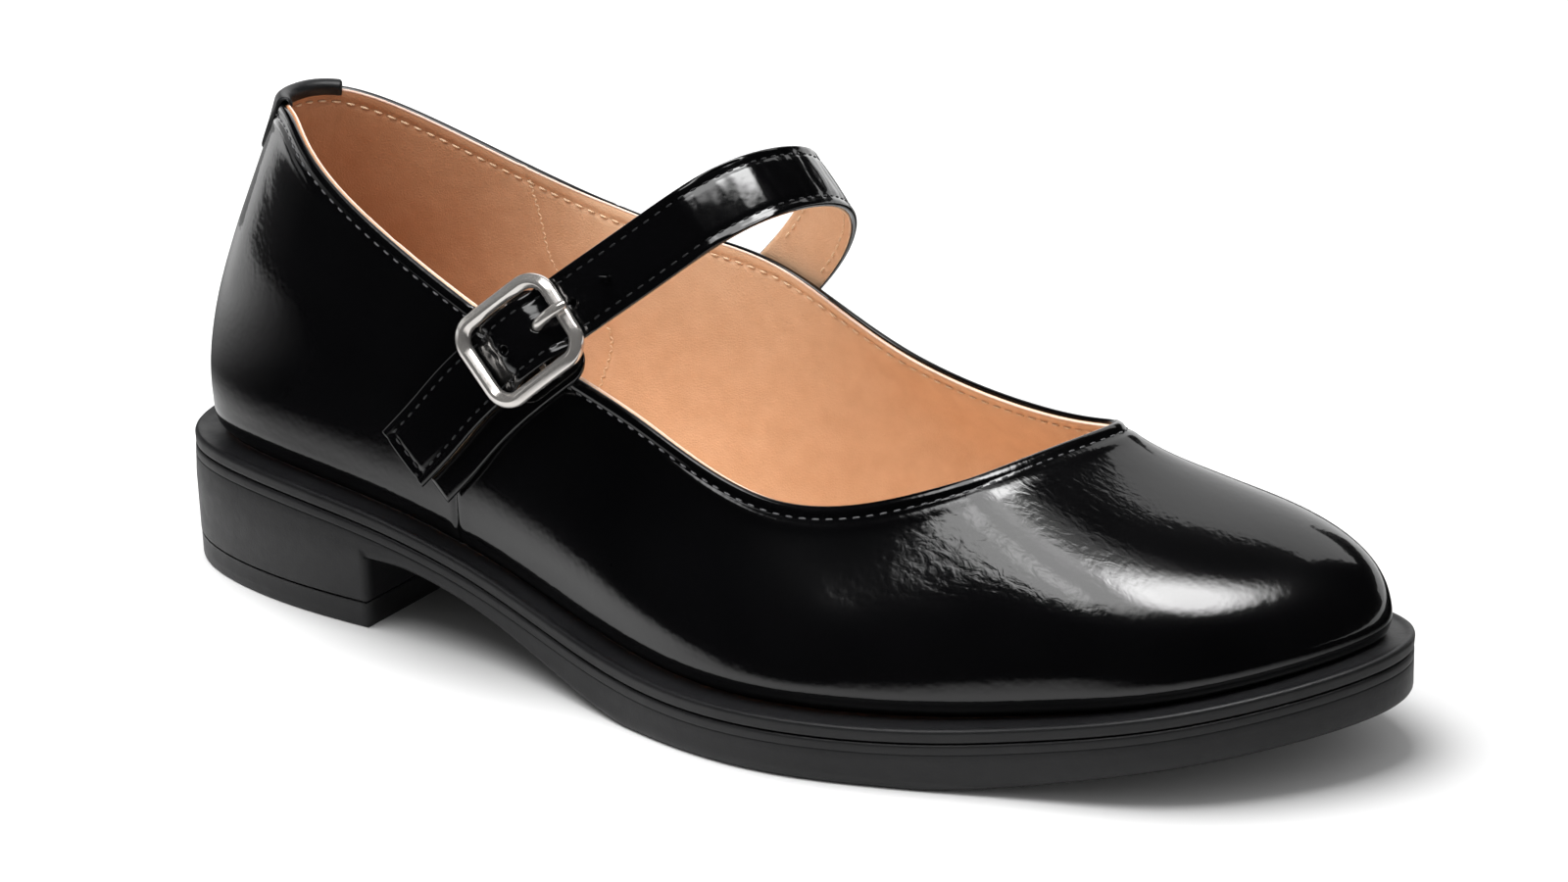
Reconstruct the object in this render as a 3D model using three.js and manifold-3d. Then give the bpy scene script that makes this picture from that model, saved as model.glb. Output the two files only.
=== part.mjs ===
// Mary jane pump, the right shoe of a pair: a low block heel, a plain almond toe and one strap
// over the instep that fastens with a buckle on the outer side of the foot.
// Millimetres. +X runs to the toe, +Y to the inner side of the foot and +Z up. The shoe stands
// on z = 0, and the origin lies under the middle of the sole.
import * as THREE from 'three';
import Module from 'manifold-3d';

// ---- Driving dimensions ---------------------------------------------------------------------
const GAP = 0.3; // clearance between neighbouring pieces
const UPPER_WALL = 2.0; // leather and lining together
const MIDSOLE_THICK = 2.3;
const INSOLE_THICK = 2.0;
const SOLE_LENGTH = 258; // spacing of the height tables below, from the back of the heel
const SOLE_BACK_X = -130;
const BREAST_X = -70; // front face of the heel block
const TOP_LIFT_THICK = 5.0; // wearing layer under the heel
const HEEL_TAPER = 1.0; // how far the heel draws in at the ground
const STRAP = { width: 13.2, thick: 1.8 };
const HOLES = { radius: 1.1, pitch: 8, steps: [-1, 1, 2] }; // counted from the prong's own hole
const CHAPE = { width: 13.2, thick: 1.2, shift: 5, from: 1, to: 46 };
const BUCKLE = { middle: 38, long: 24, wide: 19.6, corner: 4.6, barWide: 2.6, barHigh: 2.2 };
const PRONG = { radius: 0.75, hole: 4 };
const CENTRE_BAR = { radius: 0.8, height: 0.8, reach: 8.2 };
const STRAP_HUMP = { height: 1.9, spread: 5 }; // the strap's rise over the centre bar
const HEEL_TAB = { from: -0.057, to: 0.036, bottom: 0.82, inside: 0.985, thick: 0.9, taper: 0.5 };

// ---- How finely the curved pieces are cut up --------------------------------------------------
const SOLE_PAIRS = 44;
const UPPER_SECTIONS = 88;
const UPPER_LEVELS = [0, 0.07, 0.17, 0.3, 0.44, 0.58, 0.72, 0.86, 1];
const MEASURE_STEPS = 240;

// The last and the sole edge, a row for each section around the shoe, evenly spaced round the
// outline from the back of the heel along the outer side to the toe and back on the inner side.
// sole: edge of the sole in plan. ledge: how far the upper's foot stands in from that edge.
// top: the topline. foot and rise: the pull of the section's curve at its foot, outwards and up.
// lip and drop: the same at the topline, outwards and down.
const AROUND_COLUMNS = [
  'soleX', 'soleY', 'ledge', 'topX', 'topY', 'topZ', 'foot', 'rise', 'lip', 'drop',
];
const AROUND = [
  [-125, 3, 4.5, -111, 5, 88.5, 6, 22, 4.5, 18.5], // back of the heel
  [-115.5, -17.5, 5, -100, -8.5, 90, 6, 20, 5, 16.5],
  [-84, -28.5, 5.5, -81.5, -19, 81, 4, 16, 3, 14],
  [-44, -31.5, 5, -41.5, -24, 63, 4, 14, 2, 12], // outer quarter
  [-6, -43.5, 5.5, -10.5, -28, 53.5, 4, 13, 2.5, 11.5],
  [32, -49, 6, 20, -29, 44, 4, 14, 5.5, 10.5], // outer ball
  [72, -37, 6, 46, -22, 48.5, 5, 16, 10, 9.5],
  [103, -24, 5, 56, -13, 52, 5, 18, 17, 10.5],
  [124, 7, 5, 61.5, 1, 53.5, 5, 19.5, 21, 12], // toe
  [116, 32, 4.5, 64.5, 17, 53.5, 5, 23.5, 17, 12.5],
  [82, 46.5, 5, 49.5, 23.5, 50.5, 5, 19.5, 10.5, 11.5],
  [42, 48, 5.5, 14.5, 28, 54, 4, 16.5, 5.5, 11], // inner ball
  [0, 37, 5.5, -14.5, 29, 65.5, 4, 16, 2.5, 11],
  [-42, 33, 5.5, -43.5, 29.5, 69, 4, 16, 2, 12], // inner quarter
  [-83, 34, 5, -78, 27, 78, 4, 18, 2, 14],
  [-118.5, 25, 5, -105, 19.5, 87, 5, 20, 2.5, 17.5],
];
// Heights at even steps from the back of the heel to the toe.
const LEDGE_HEIGHTS = [24.5, 25.4, 22.3, 15.2, 10.9, 10.8, 12, 17.2, 22.9];
const TREAD_HEIGHTS = [18, 14.5, 14.4, 6.7, -0.3, -0.5, 0.5, 6.7, 11.8];

// The strap's underside, from its tail on the outer quarter over the instep to the inner
// quarter. turn and dip aim the direction across the strap, in degrees: dip is down from level.
const STRAP_COLUMNS = ['x', 'y', 'z', 'turn', 'dip'];
const STRAP_ROUTE = [
  [-60.5, -28.5, 36, -8, 41], // tail
  [-53, -28.5, 44.5, -9, 41],
  [-44.5, -27.5, 54.5, -10, 42],
  [-29, -25.5, 68.5, -12, 43],
  [-13.5, -20.5, 81.5, -14, 45],
  [-1.5, -12, 91.5, -15, 45],
  [3.5, 3, 92.5, -14, 43], // top of the instep
  [1.5, 19.5, 85.5, -10, 43],
  [-8, 28.7, 70.5, 0.5, 36.5],
  [-22.4, 30.6, 54.2, 4, 38], // stitched end
];

// ---- Curves ---------------------------------------------------------------------------------
// A smooth curve through the rows, as a function of the row number. It is a uniform cubic
// B-spline, and its control rows are found by repeated correction.
function curveThrough(rows, closed) {
  const last = rows.length - 1;
  const beyond = (end, next) => end.map((value, k) => 2 * value - next[k]);
  const pick = (list, i) => {
    if (closed) return list[(i + list.length) % list.length];
    if (i < 0) return beyond(list[0], list[1]);
    return i > last ? beyond(list[last], list[last - 1]) : list[i];
  };
  let control = rows;
  for (let round = 0; round < 60; round += 1) {
    control = rows.map((row, i) => row.map((value, k) => {
      const wanted = (6 * value - pick(control, i - 1)[k] - pick(control, i + 1)[k]) / 4;
      return (control[i][k] + wanted) / 2;
    }));
  }
  return (place) => {
    const i = Math.floor(place);
    const f = place - i;
    const weights = [
      (1 - f) ** 3, 3 * f ** 3 - 6 * f ** 2 + 4, -3 * f ** 3 + 3 * f ** 2 + 3 * f + 1, f ** 3,
    ];
    return rows[0].map((_, k) => weights.reduce(
      (sum, weight, j) => sum + (weight * pick(control, i - 1 + j)[k]) / 6, 0,
    ));
  };
}

// The same, giving an object with the named columns.
function namedCurve(columns, rows, closed) {
  const curve = curveThrough(rows, closed);
  return (place) => {
    const values = curve(place);
    return Object.fromEntries(columns.map((name, k) => [name, values[k]]));
  };
}

function heightAlong(heights) {
  const curve = curveThrough(heights.map((height) => [height]), false);
  const steps = heights.length - 1;
  return (x) => curve(THREE.MathUtils.clamp((x - SOLE_BACK_X) / SOLE_LENGTH, 0, 1) * steps)[0];
}

const vec = (x, y, z) => new THREE.Vector3(x, y, z);
const ledgeHeight = heightAlong(LEDGE_HEIGHTS);
const treadCurve = heightAlong(TREAD_HEIGHTS);
const treadHeight = (x) => Math.max(0, treadCurve(x));
const around = namedCurve(AROUND_COLUMNS, AROUND, true);

// ---- The last -------------------------------------------------------------------------------
// u runs once round the shoe, from 0 at the back of the heel through 0.5 at the toe.
const wrap = (u) => (u - Math.floor(u)) * AROUND.length;

// The sole's edge moved outwards by out, at height z.
function solePoint(u, out, z = 0) {
  const step = 1e-3;
  const here = around(wrap(u));
  const before = around(wrap(u - step));
  const after = around(wrap(u + step));
  const along = vec(after.soleX - before.soleX, after.soleY - before.soleY, 0).normalize();
  return vec(here.soleX + along.y * out, here.soleY - along.x * out, z);
}

// The outside of the upper: v runs from 0 at the ledge to 1 at the topline.
function lastPoint(u, v) {
  const row = around(wrap(u));
  const foot = solePoint(u, -row.ledge);
  foot.z = ledgeHeight(foot.x) + GAP;
  const outward = solePoint(u, 1).sub(solePoint(u, 0));
  const top = vec(row.topX, row.topY, row.topZ);
  const spread = vec(foot.x - top.x, foot.y - top.y, 0).normalize();
  const footPull = foot.clone().addScaledVector(outward, row.foot).add(vec(0, 0, row.rise));
  const topPull = top.clone().addScaledVector(spread, row.lip).sub(vec(0, 0, row.drop));
  return new THREE.CubicBezierCurve3(foot, footPull, topPull, top).getPoint(v);
}

// A point on the upper moved out along its surface normal, and up past the topline.
function upperPoint(u, v, out, up = 0) {
  const step = 1e-3;
  const low = lastPoint(u, Math.max(v - step, 0));
  const high = lastPoint(u, Math.min(v + step, 1));
  const rise = high.sub(low).normalize();
  const along = lastPoint(u + step, v).sub(lastPoint(u - step, v)).normalize();
  const normal = along.clone().cross(rise).normalize();
  return lastPoint(u, v).addScaledVector(normal, out).addScaledVector(rise, up);
}

// ---- Closed solids from loops of points -----------------------------------------------------
// Every three corners are a triangle. Corners that coincide become one vertex, and a triangle
// with two such corners drops out.
function weld(corners) {
  const vertices = [];
  const numbers = new Map();
  const numberOf = (point) => {
    const key = point.toArray().map((value) => value.toFixed(4)).join();
    if (!numbers.has(key)) {
      numbers.set(key, vertices.length / 3);
      vertices.push(...point.toArray());
    }
    return numbers.get(key);
  };
  const triangles = [];
  for (let i = 0; i < corners.length; i += 3) {
    const [a, b, c] = corners.slice(i, i + 3).map(numberOf);
    if (a !== b && b !== c && c !== a) triangles.push(a, b, c);
  }
  const geometry = new THREE.BufferGeometry();
  geometry.setAttribute('position', new THREE.Float32BufferAttribute(vertices, 3));
  geometry.setIndex(triangles);
  return geometry;
}

// Neighbouring loops are joined by quads. The first and last loops are closed by strips across
// them or, in a ring, joined to each other.
function skin(loops, ring = false) {
  const corners = [];
  const quad = (a, b, c, d) => corners.push(a, b, c, a, c, d);
  const size = loops[0].length;
  const joins = ring ? loops.length : loops.length - 1;
  for (let i = 0; i < joins; i += 1) {
    const here = loops[i];
    const next = loops[(i + 1) % loops.length];
    for (let j = 0; j < size; j += 1) {
      const k = (j + 1) % size;
      quad(here[j], here[k], next[k], next[j]);
    }
  }
  if (!ring) {
    const first = loops[0];
    const last = loops[loops.length - 1];
    for (let j = 0; j < size / 2 - 1; j += 1) {
      const k = size - 1 - j;
      quad(first[j + 1], first[j], first[k], first[k - 1]);
      quad(last[j], last[j + 1], last[k - 1], last[k]);
    }
  }
  return weld(corners);
}

const evenly = (count, from, to) => Array.from(
  { length: count + 1 }, (_, i) => from + ((to - from) * i) / count,
);

// ---- Joining and cutting --------------------------------------------------------------------
const wasm = await Module();
wasm.setup();

function toManifold(geometry) {
  const vertProperties = new Float32Array(geometry.getAttribute('position').array);
  const triVerts = new Uint32Array(geometry.getIndex().array);
  return new wasm.Manifold(new wasm.Mesh({ numProp: 3, vertProperties, triVerts }));
}

function fromManifold(solid) {
  const { vertProperties, triVerts } = solid.getMesh();
  const geometry = new THREE.BufferGeometry();
  geometry.setAttribute('position', new THREE.Float32BufferAttribute(vertProperties, 3));
  geometry.setIndex(Array.from(triVerts));
  return geometry;
}

const join = (a, b) => fromManifold(toManifold(a).add(toManifold(b)));
const cut = (body, tool) => fromManifold(toManifold(body).subtract(toManifold(tool)));

// ---- Materials and naming -------------------------------------------------------------------
const look = (color, roughness, metalness = 0) => (
  new THREE.MeshStandardMaterial({ color, roughness, metalness })
);
const PATENT = look(0x0b0b0d, 0.12);
const SOLE_RUBBER = look(0x1b1b1c, 0.55);
const LINING = look(0xc98f62, 0.6);
const NICKEL = look(0xc9c3ba, 0.2, 1);

const shoe = new THREE.Group();
function addPiece(name, geometry, material) {
  const mesh = new THREE.Mesh(geometry, material);
  mesh.name = name;
  shoe.add(mesh);
}

// ---- Sole -----------------------------------------------------------------------------------
// Loops stand across the shoe, one for each pair of outer and inner edge points.
// Pairs of u, outer side first. The pair next to the heel's front face lies in its plane.
function edgePairs() {
  const start = 0.25 / SOLE_PAIRS;
  const pairs = evenly(SOLE_PAIRS - 1, start, 0.5 - start).map((u) => [u, -u]);
  const distance = ([u]) => Math.abs(solePoint(u, 0).x - BREAST_X);
  const nearest = pairs.reduce((best, pair) => (distance(pair) < distance(best) ? pair : best));
  pairs[pairs.indexOf(nearest)] = nearest.map((guess) => {
    let u = guess;
    for (let round = 0; round < 8; round += 1) {
      const slope = (solePoint(u + 1e-3, 0).x - solePoint(u - 1e-3, 0).x) / 2e-3;
      u -= (solePoint(u, 0).x - BREAST_X) / slope;
    }
    return u;
  });
  return pairs;
}
const EDGE_PAIRS = edgePairs();

// A plate with the given margin to the sole's edge, between two heights that follow x.
function plate(pairs, margin, bottom, top) {
  return skin(pairs.map(([outer, inner]) => {
    const a = solePoint(outer, -margin(outer));
    const b = solePoint(inner, -margin(inner));
    const at = (point, height) => vec(point.x, point.y, height(point.x));
    return [at(a, bottom), at(a, top), at(b, top), at(b, bottom)].reverse();
  }));
}

const midsoleBottom = (x) => ledgeHeight(x) - MIDSOLE_THICK;
addPiece('midsole', plate(EDGE_PAIRS, () => 0, midsoleBottom, ledgeHeight), SOLE_RUBBER);

// The outsole and the heel block are one moulding. Behind BREAST_X its walls go on down to the
// top lift, and in front of it the loop's two lowest points coincide with the tread.
function outsole() {
  const loops = [];
  const heelFoot = TOP_LIFT_THICK + GAP;
  const loopAt = ([outer, inner], withHeel) => {
    const side = (u) => {
      const edge = solePoint(u, 0);
      const top = vec(edge.x, edge.y, midsoleBottom(edge.x) - GAP);
      const middle = vec(edge.x, edge.y, treadHeight(edge.x));
      if (!withHeel) return [top, middle, middle];
      const drop = (middle.z - heelFoot) / middle.z;
      return [top, middle, heelEdge(u, HEEL_TAPER * drop, heelFoot)];
    };
    return [...side(outer), ...side(inner).reverse()];
  };
  for (const pair of EDGE_PAIRS) {
    const { x } = solePoint(pair[0], 0);
    if (x < BREAST_X + 0.01) loops.push(loopAt(pair, true));
    if (x > BREAST_X - 0.01) loops.push(loopAt(pair, false));
  }
  return skin(loops);
}

// The heel's edge drawn in, but never past the plane of its front face.
function heelEdge(u, inwards, z) {
  const point = solePoint(u, -inwards, z);
  if (solePoint(u, 0).x > BREAST_X - 0.01) point.x = BREAST_X;
  return point;
}

function topLift() {
  const pairs = EDGE_PAIRS.filter(([outer]) => solePoint(outer, 0).x < BREAST_X + 0.01);
  const topInset = HEEL_TAPER * 0.7;
  return skin(pairs.map(([outer, inner]) => [
    heelEdge(outer, topInset, TOP_LIFT_THICK),
    heelEdge(outer, HEEL_TAPER, 0),
    heelEdge(inner, HEEL_TAPER, 0),
    heelEdge(inner, topInset, TOP_LIFT_THICK),
  ]));
}

addPiece('outsole', outsole(), SOLE_RUBBER);
addPiece('heel_top_lift', topLift(), SOLE_RUBBER);

const insideUpper = (u) => around(wrap(u)).ledge + UPPER_WALL + 2 * GAP;
const insoleBottom = (x) => ledgeHeight(x) + GAP;
const insoleTop = (x) => insoleBottom(x) + INSOLE_THICK;
addPiece('insole', plate(EDGE_PAIRS, insideUpper, insoleBottom, insoleTop), LINING);

// ---- Upper ----------------------------------------------------------------------------------
// One hollow shell, open at the topline and underneath. A loop runs up the outside and down the
// inside, and the loops go once round the shoe.
function upperShell() {
  const wallPoint = (u, v, out) => {
    if (v > 0) return upperPoint(u, v, out);
    const foot = solePoint(u, out - around(wrap(u)).ledge);
    return vec(foot.x, foot.y, ledgeHeight(foot.x) + GAP);
  };
  return skin(evenly(UPPER_SECTIONS, 0, 1).slice(0, -1).map((u) => [
    ...UPPER_LEVELS.map((v) => wallPoint(u, v, 0)),
    ...UPPER_LEVELS.map((v) => wallPoint(u, v, -UPPER_WALL)).reverse(),
  ].reverse()), true);
}
addPiece('upper', upperShell(), PATENT);

// The tab at the back is folded over the topline: down the outside, where it narrows, across and
// just inside.
function heelTab() {
  const middle = (HEEL_TAB.from + HEEL_TAB.to) / 2;
  const narrowed = (u, v) => middle + (u - middle)
    * (1 - HEEL_TAB.taper * Math.max(0, (0.98 - v) / (0.98 - HEEL_TAB.bottom)));
  const chain = (off) => [
    ...evenly(4, HEEL_TAB.bottom, 1).map((v) => [v, off, 0]),
    [1, off, off],
    [1, -UPPER_WALL / 2, off],
    [1, -UPPER_WALL - off, off],
    [1, -UPPER_WALL - off, 0],
    [HEEL_TAB.inside, -UPPER_WALL - off, 0],
  ];
  return skin(evenly(11, HEEL_TAB.from, HEEL_TAB.to).map((u) => [
    ...chain(GAP + HEEL_TAB.thick), ...chain(GAP).reverse(),
  ].map(([v, out, up]) => upperPoint(out > 0 ? narrowed(u, v) : u, v, out, up)).reverse()));
}
addPiece('heel_tab', heelTab(), PATENT);

// ---- Strap ----------------------------------------------------------------------------------
const strapRow = namedCurve(STRAP_COLUMNS, STRAP_ROUTE, false);
const strapPlace = (place) => {
  const row = strapRow(place);
  return vec(row.x, row.y, row.z);
};

// Row numbers for lengths along the strap, measured in short steps from its tail.
const strapPlaces = evenly(MEASURE_STEPS, 0, STRAP_ROUTE.length - 1);
const strapLengths = [0];
for (let i = 1; i <= MEASURE_STEPS; i += 1) {
  const step = strapPlace(strapPlaces[i]).distanceTo(strapPlace(strapPlaces[i - 1]));
  strapLengths.push(strapLengths[i - 1] + step);
}
const STRAP_LENGTH = strapLengths[MEASURE_STEPS];

function placeAtLength(length) {
  const wanted = THREE.MathUtils.clamp(length, 0, STRAP_LENGTH);
  const i = Math.max(1, strapLengths.findIndex((value) => value >= wanted));
  const f = (wanted - strapLengths[i - 1]) / (strapLengths[i] - strapLengths[i - 1]);
  return strapPlaces[i - 1] + f * (strapPlaces[i] - strapPlaces[i - 1]);
}

// A point by its length from the tail, its distance towards the toe and its height outwards.
function strapPoint(length, across, height) {
  const place = placeAtLength(length);
  const row = strapRow(place);
  const turn = THREE.MathUtils.degToRad(row.turn);
  const dip = THREE.MathUtils.degToRad(row.dip);
  const over = vec(Math.cos(dip) * Math.cos(turn), Math.cos(dip) * Math.sin(turn), -Math.sin(dip));
  const end = STRAP_ROUTE.length - 1;
  const along = strapPlace(Math.min(place + 0.01, end)).sub(strapPlace(Math.max(place - 0.01, 0)));
  const outward = over.clone().cross(along).normalize();
  return vec(row.x, row.y, row.z).addScaledVector(over, across).addScaledVector(outward, height);
}

const humpAt = (length) => (
  STRAP_HUMP.height * Math.exp(-(((length - BUCKLE.middle) / STRAP_HUMP.spread) ** 2))
);

// A flat band in the strap's own directions. side gives its two edges at a length.
function band(lengths, side, low, high) {
  const columns = 4;
  return skin(lengths.map((length) => {
    const [back, front] = side(length);
    const row = (height) => evenly(columns, back, front).map(
      (across) => strapPoint(length, across, height(length)),
    );
    return [...row(low), ...row(high).reverse()].reverse();
  }));
}

// A rod of the given radius along points stated as length, across and height.
function rod(path, radius) {
  const curve = new THREE.CatmullRomCurve3(path.map((point) => strapPoint(...point)));
  const shape = new THREE.Shape();
  shape.absarc(0, 0, radius, 0, 2 * Math.PI);
  const positions = new THREE.ExtrudeGeometry(shape, {
    steps: 3 * (path.length - 1), curveSegments: 5, bevelEnabled: false, extrudePath: curve,
  }).getAttribute('position');
  return weld(Array.from(
    { length: positions.count }, (_, i) => vec().fromBufferAttribute(positions, i),
  ));
}

// The prong starts beyond the centre bar, comes up through a hole and lies on the frame.
const PRONG_PATH = [
  [1.7, 0.8], [2.8, 1.1], [4, 2.3], [5.6, 3.9], [7.6, 4.9], [9.4, 5.4], [11, 5.5], [12.4, 4.9],
].map(([along, height]) => [BUCKLE.middle + along, 0, height]);

function strap() {
  const fine = evenly(16, BUCKLE.middle - 12, BUCKLE.middle + 12);
  const lengths = [
    ...evenly(6, 0, BUCKLE.middle - 15), ...fine,
    ...evenly(26, BUCKLE.middle + 15, STRAP_LENGTH),
  ];
  const half = STRAP.width / 2;
  let body = band(lengths, () => [-half, half], humpAt, (at) => humpAt(at) + STRAP.thick);
  for (const step of HOLES.steps) {
    const length = BUCKLE.middle + PRONG.hole + step * HOLES.pitch;
    body = cut(body, rod([[length, 0, -2], [length, 0, 6]], HOLES.radius));
  }
  return cut(body, rod(PRONG_PATH, PRONG.radius + GAP));
}
addPiece('strap', strap(), PATENT);

// The chape is the short band under the strap that ties the centre bar to the quarter. Its
// upper end is round.
function chape() {
  const half = CHAPE.width / 2;
  const side = (length) => {
    const past = Math.max(0, length - (CHAPE.to - half)) / half;
    const reach = Math.max(half * Math.sqrt(Math.max(0, 1 - past ** 2)), 0.8);
    return [CHAPE.shift - reach, CHAPE.shift + reach];
  };
  const lengths = [
    ...evenly(10, CHAPE.from, CHAPE.to - half),
    ...evenly(8, 0.12, 1).map((part) => CHAPE.to - half + half * Math.sin((part * Math.PI) / 2)),
  ];
  return band(lengths, side, () => -GAP - CHAPE.thick, () => -GAP);
}
addPiece('chape', chape(), PATENT);

// ---- Buckle ---------------------------------------------------------------------------------
// A rounded rectangular ring that follows the strap's bend, over a centre bar under the strap.
function buckleRing() {
  const low = STRAP.thick + GAP;
  const { long, wide, corner, barWide, barHigh } = BUCKLE;
  const [halfLong, halfWide] = [(long - barWide) / 2, (wide - barWide) / 2];
  const round = corner - barWide / 2;
  const section = [
    [-0.5, 0.3], [-0.28, 0], [0.28, 0], [0.5, 0.3], [0.5, 0.7], [0.28, 1], [-0.28, 1], [-0.5, 0.7],
  ];
  const loops = [];
  for (const quarter of [0, 1, 2, 3]) {
    const signs = [[1, 1], [-1, 1], [-1, -1], [1, -1]][quarter];
    for (const angle of evenly(6, quarter * 90, quarter * 90 + 90)) {
      const out = [Math.cos(THREE.MathUtils.degToRad(angle)),
        Math.sin(THREE.MathUtils.degToRad(angle))];
      const centre = [signs[0] * (halfLong - round), signs[1] * (halfWide - round)];
      loops.push(section.map(([across, height]) => {
        const reach = round + across * barWide;
        return strapPoint(
          BUCKLE.middle + centre[0] + out[0] * reach,
          centre[1] + out[1] * reach,
          low + height * barHigh,
        );
      }));
    }
  }
  return skin(loops, true);
}

function centreBar() {
  const { radius, height, reach } = CENTRE_BAR;
  const { middle, barHigh } = BUCKLE;
  const ringHeight = STRAP.thick + GAP + barHigh / 2;
  const rods = [-1, 1].map((side) => rod(
    [[middle, side * reach, height], [middle, side * reach, ringHeight]], radius,
  ));
  const sides = evenly(4, -reach - radius / 2, reach + radius / 2);
  return [rod(sides.map((across) => [middle, across, height]), radius), ...rods];
}

addPiece('buckle_frame', centreBar().reduce(join, buckleRing()), NICKEL);
addPiece('buckle_prong', rod(PRONG_PATH, PRONG.radius), NICKEL);

export default shoe;
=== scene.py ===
import math

import bmesh
import bpy
import mathutils
import numpy as np
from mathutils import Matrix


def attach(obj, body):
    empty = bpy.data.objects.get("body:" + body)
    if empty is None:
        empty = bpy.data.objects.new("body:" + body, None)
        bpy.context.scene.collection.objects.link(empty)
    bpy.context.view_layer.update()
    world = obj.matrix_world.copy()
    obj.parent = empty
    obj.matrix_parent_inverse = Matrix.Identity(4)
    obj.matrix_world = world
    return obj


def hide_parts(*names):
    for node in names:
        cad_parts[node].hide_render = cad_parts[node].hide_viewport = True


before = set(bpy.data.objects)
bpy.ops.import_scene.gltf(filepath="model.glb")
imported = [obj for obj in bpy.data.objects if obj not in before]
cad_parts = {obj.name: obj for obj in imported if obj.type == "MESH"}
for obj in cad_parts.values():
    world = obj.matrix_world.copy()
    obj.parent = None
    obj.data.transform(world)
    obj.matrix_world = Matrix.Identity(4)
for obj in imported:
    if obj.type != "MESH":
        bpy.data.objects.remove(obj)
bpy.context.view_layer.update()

# ---- Outsole and heel block -------------------------------------------------------------------
# One moulding of black rubber: a thin sole with a raised toe and, behind the breast, a low block
# heel. Its wall carries a fine mould line, and its lower edge is slightly rounded.
MM = 0.001
# Sections round the shoe in millimetres, from the heel by the outer side: the sole's edge, the
# ledge's width, a point of the topline, and how far the wall between them is pulled out and up.
SHOE_COLUMNS = ("soleX", "soleY", "ledge", "topX", "topY", "topZ", "foot", "rise", "lip", "drop")
SHOE_ROWS = np.array([
    (-125, 3, 4.5, -111, 5, 88.5, 6, 22, 4.5, 18.5),
    (-115.5, -17.5, 5, -100, -8.5, 90, 6, 20, 5, 16.5),
    (-84, -28.5, 5.5, -81.5, -19, 81, 4, 16, 3, 14),
    (-44, -31.5, 5, -41.5, -24, 63, 4, 14, 2, 12),
    (-6, -43.5, 5.5, -10.5, -28, 53.5, 4, 13, 2.5, 11.5),
    (32, -49, 6, 20, -29, 44, 4, 14, 5.5, 10.5),
    (72, -37, 6, 46, -22, 48.5, 5, 16, 10, 9.5),
    (103, -24, 5, 56, -13, 52, 5, 18, 17, 10.5),
    (124, 7, 5, 61.5, 1, 53.5, 5, 19.5, 21, 12),
    (116, 32, 4.5, 64.5, 17, 53.5, 5, 23.5, 17, 12.5),
    (82, 46.5, 5, 49.5, 23.5, 50.5, 5, 19.5, 10.5, 11.5),
    (42, 48, 5.5, 14.5, 28, 54, 4, 16.5, 5.5, 11),
    (0, 37, 5.5, -14.5, 29, 65.5, 4, 16, 2.5, 11),
    (-42, 33, 5.5, -43.5, 29.5, 69, 4, 16, 2, 12),
    (-83, 34, 5, -78, 27, 78, 4, 18, 2, 14),
    (-118.5, 25, 5, -105, 19.5, 87, 5, 20, 2.5, 17.5),
], float)
# Heights of the ledge and of the tread at even steps from the heel to the toe.
LEDGE_HEIGHTS = np.array([24.5, 25.4, 22.3, 15.2, 10.9, 10.8, 12, 17.2, 22.9])[:, None]
TREAD_HEIGHTS = np.array([18, 14.5, 14.4, 6.7, -0.3, -0.5, 0.5, 6.7, 11.8])[:, None]
SOLE_BACK_X, SOLE_LENGTH = -130, 258
BREAST_X = -70
RIM_THICK = 2.3
TOP_PIECE_THICK = 5.0
HEEL_TAPER = 1.0


def spline_controls(rows, closed):
    """Control rows of the cubic B-spline that passes through the rows."""
    control, passes = rows.copy(), 60
    for _ in range(passes):
        before, after = np.roll(control, 1, 0), np.roll(control, -1, 0)
        if not closed:
            before[0] = 2 * control[0] - control[1]
            after[-1] = 2 * control[-1] - control[-2]
        control = (control + (6 * rows - before - after) / 4) / 2
    return control


def on_spline(control, place, closed):
    """Rows on the spline at places counted in rows."""
    place = np.asarray(place, float)
    count = len(control)
    if closed:
        rows = np.concatenate([control[-1:], control, control[:2]])
        i = np.floor(place).astype(int) % count
    else:
        first = 2 * control[:1] - control[1:2]
        last = 2 * control[-1:] - control[-2:-1]
        rows = np.concatenate([first, control, last])
        i = np.clip(np.floor(place).astype(int), 0, count - 2)
        place = np.clip(place, 0, count - 1)
    f = (place - (np.floor(place) if closed else i))[..., None]
    return (
        (1 - f) ** 3 * rows[i] + (3 * f**3 - 6 * f**2 + 4) * rows[i + 1]
        + (-3 * f**3 + 3 * f**2 + 3 * f + 1) * rows[i + 2] + f**3 * rows[i + 3]
    ) / 6


SHOE_CONTROLS = spline_controls(SHOE_ROWS, True)
LEDGE_CONTROLS = spline_controls(LEDGE_HEIGHTS, False)
TREAD_CONTROLS = spline_controls(TREAD_HEIGHTS, False)


def section(u):
    """The shoe's section at u, which runs from 0 at the heel by the outer side to 0.5 at the toe."""
    rows = on_spline(SHOE_CONTROLS, (np.asarray(u) % 1) * len(SHOE_ROWS), True)
    return dict(zip(SHOE_COLUMNS, np.moveaxis(rows, -1, 0)))


def height_at(controls, x):
    place = np.clip((x - SOLE_BACK_X) / SOLE_LENGTH, 0, 1) * (len(controls) - 1)
    return on_spline(controls, place, False)[..., 0]


def ledge_height(x):
    return height_at(LEDGE_CONTROLS, x)


def tread_height(x):
    return np.maximum(height_at(TREAD_CONTROLS, x), 0)


def outward_at(u):
    """The level direction straight out of the sole's edge."""
    after, before = section(u + 0.001), section(u - 0.001)
    dx, dy = after["soleX"] - before["soleX"], after["soleY"] - before["soleY"]
    size = np.hypot(dx, dy)
    return dy / size, -dx / size


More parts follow.
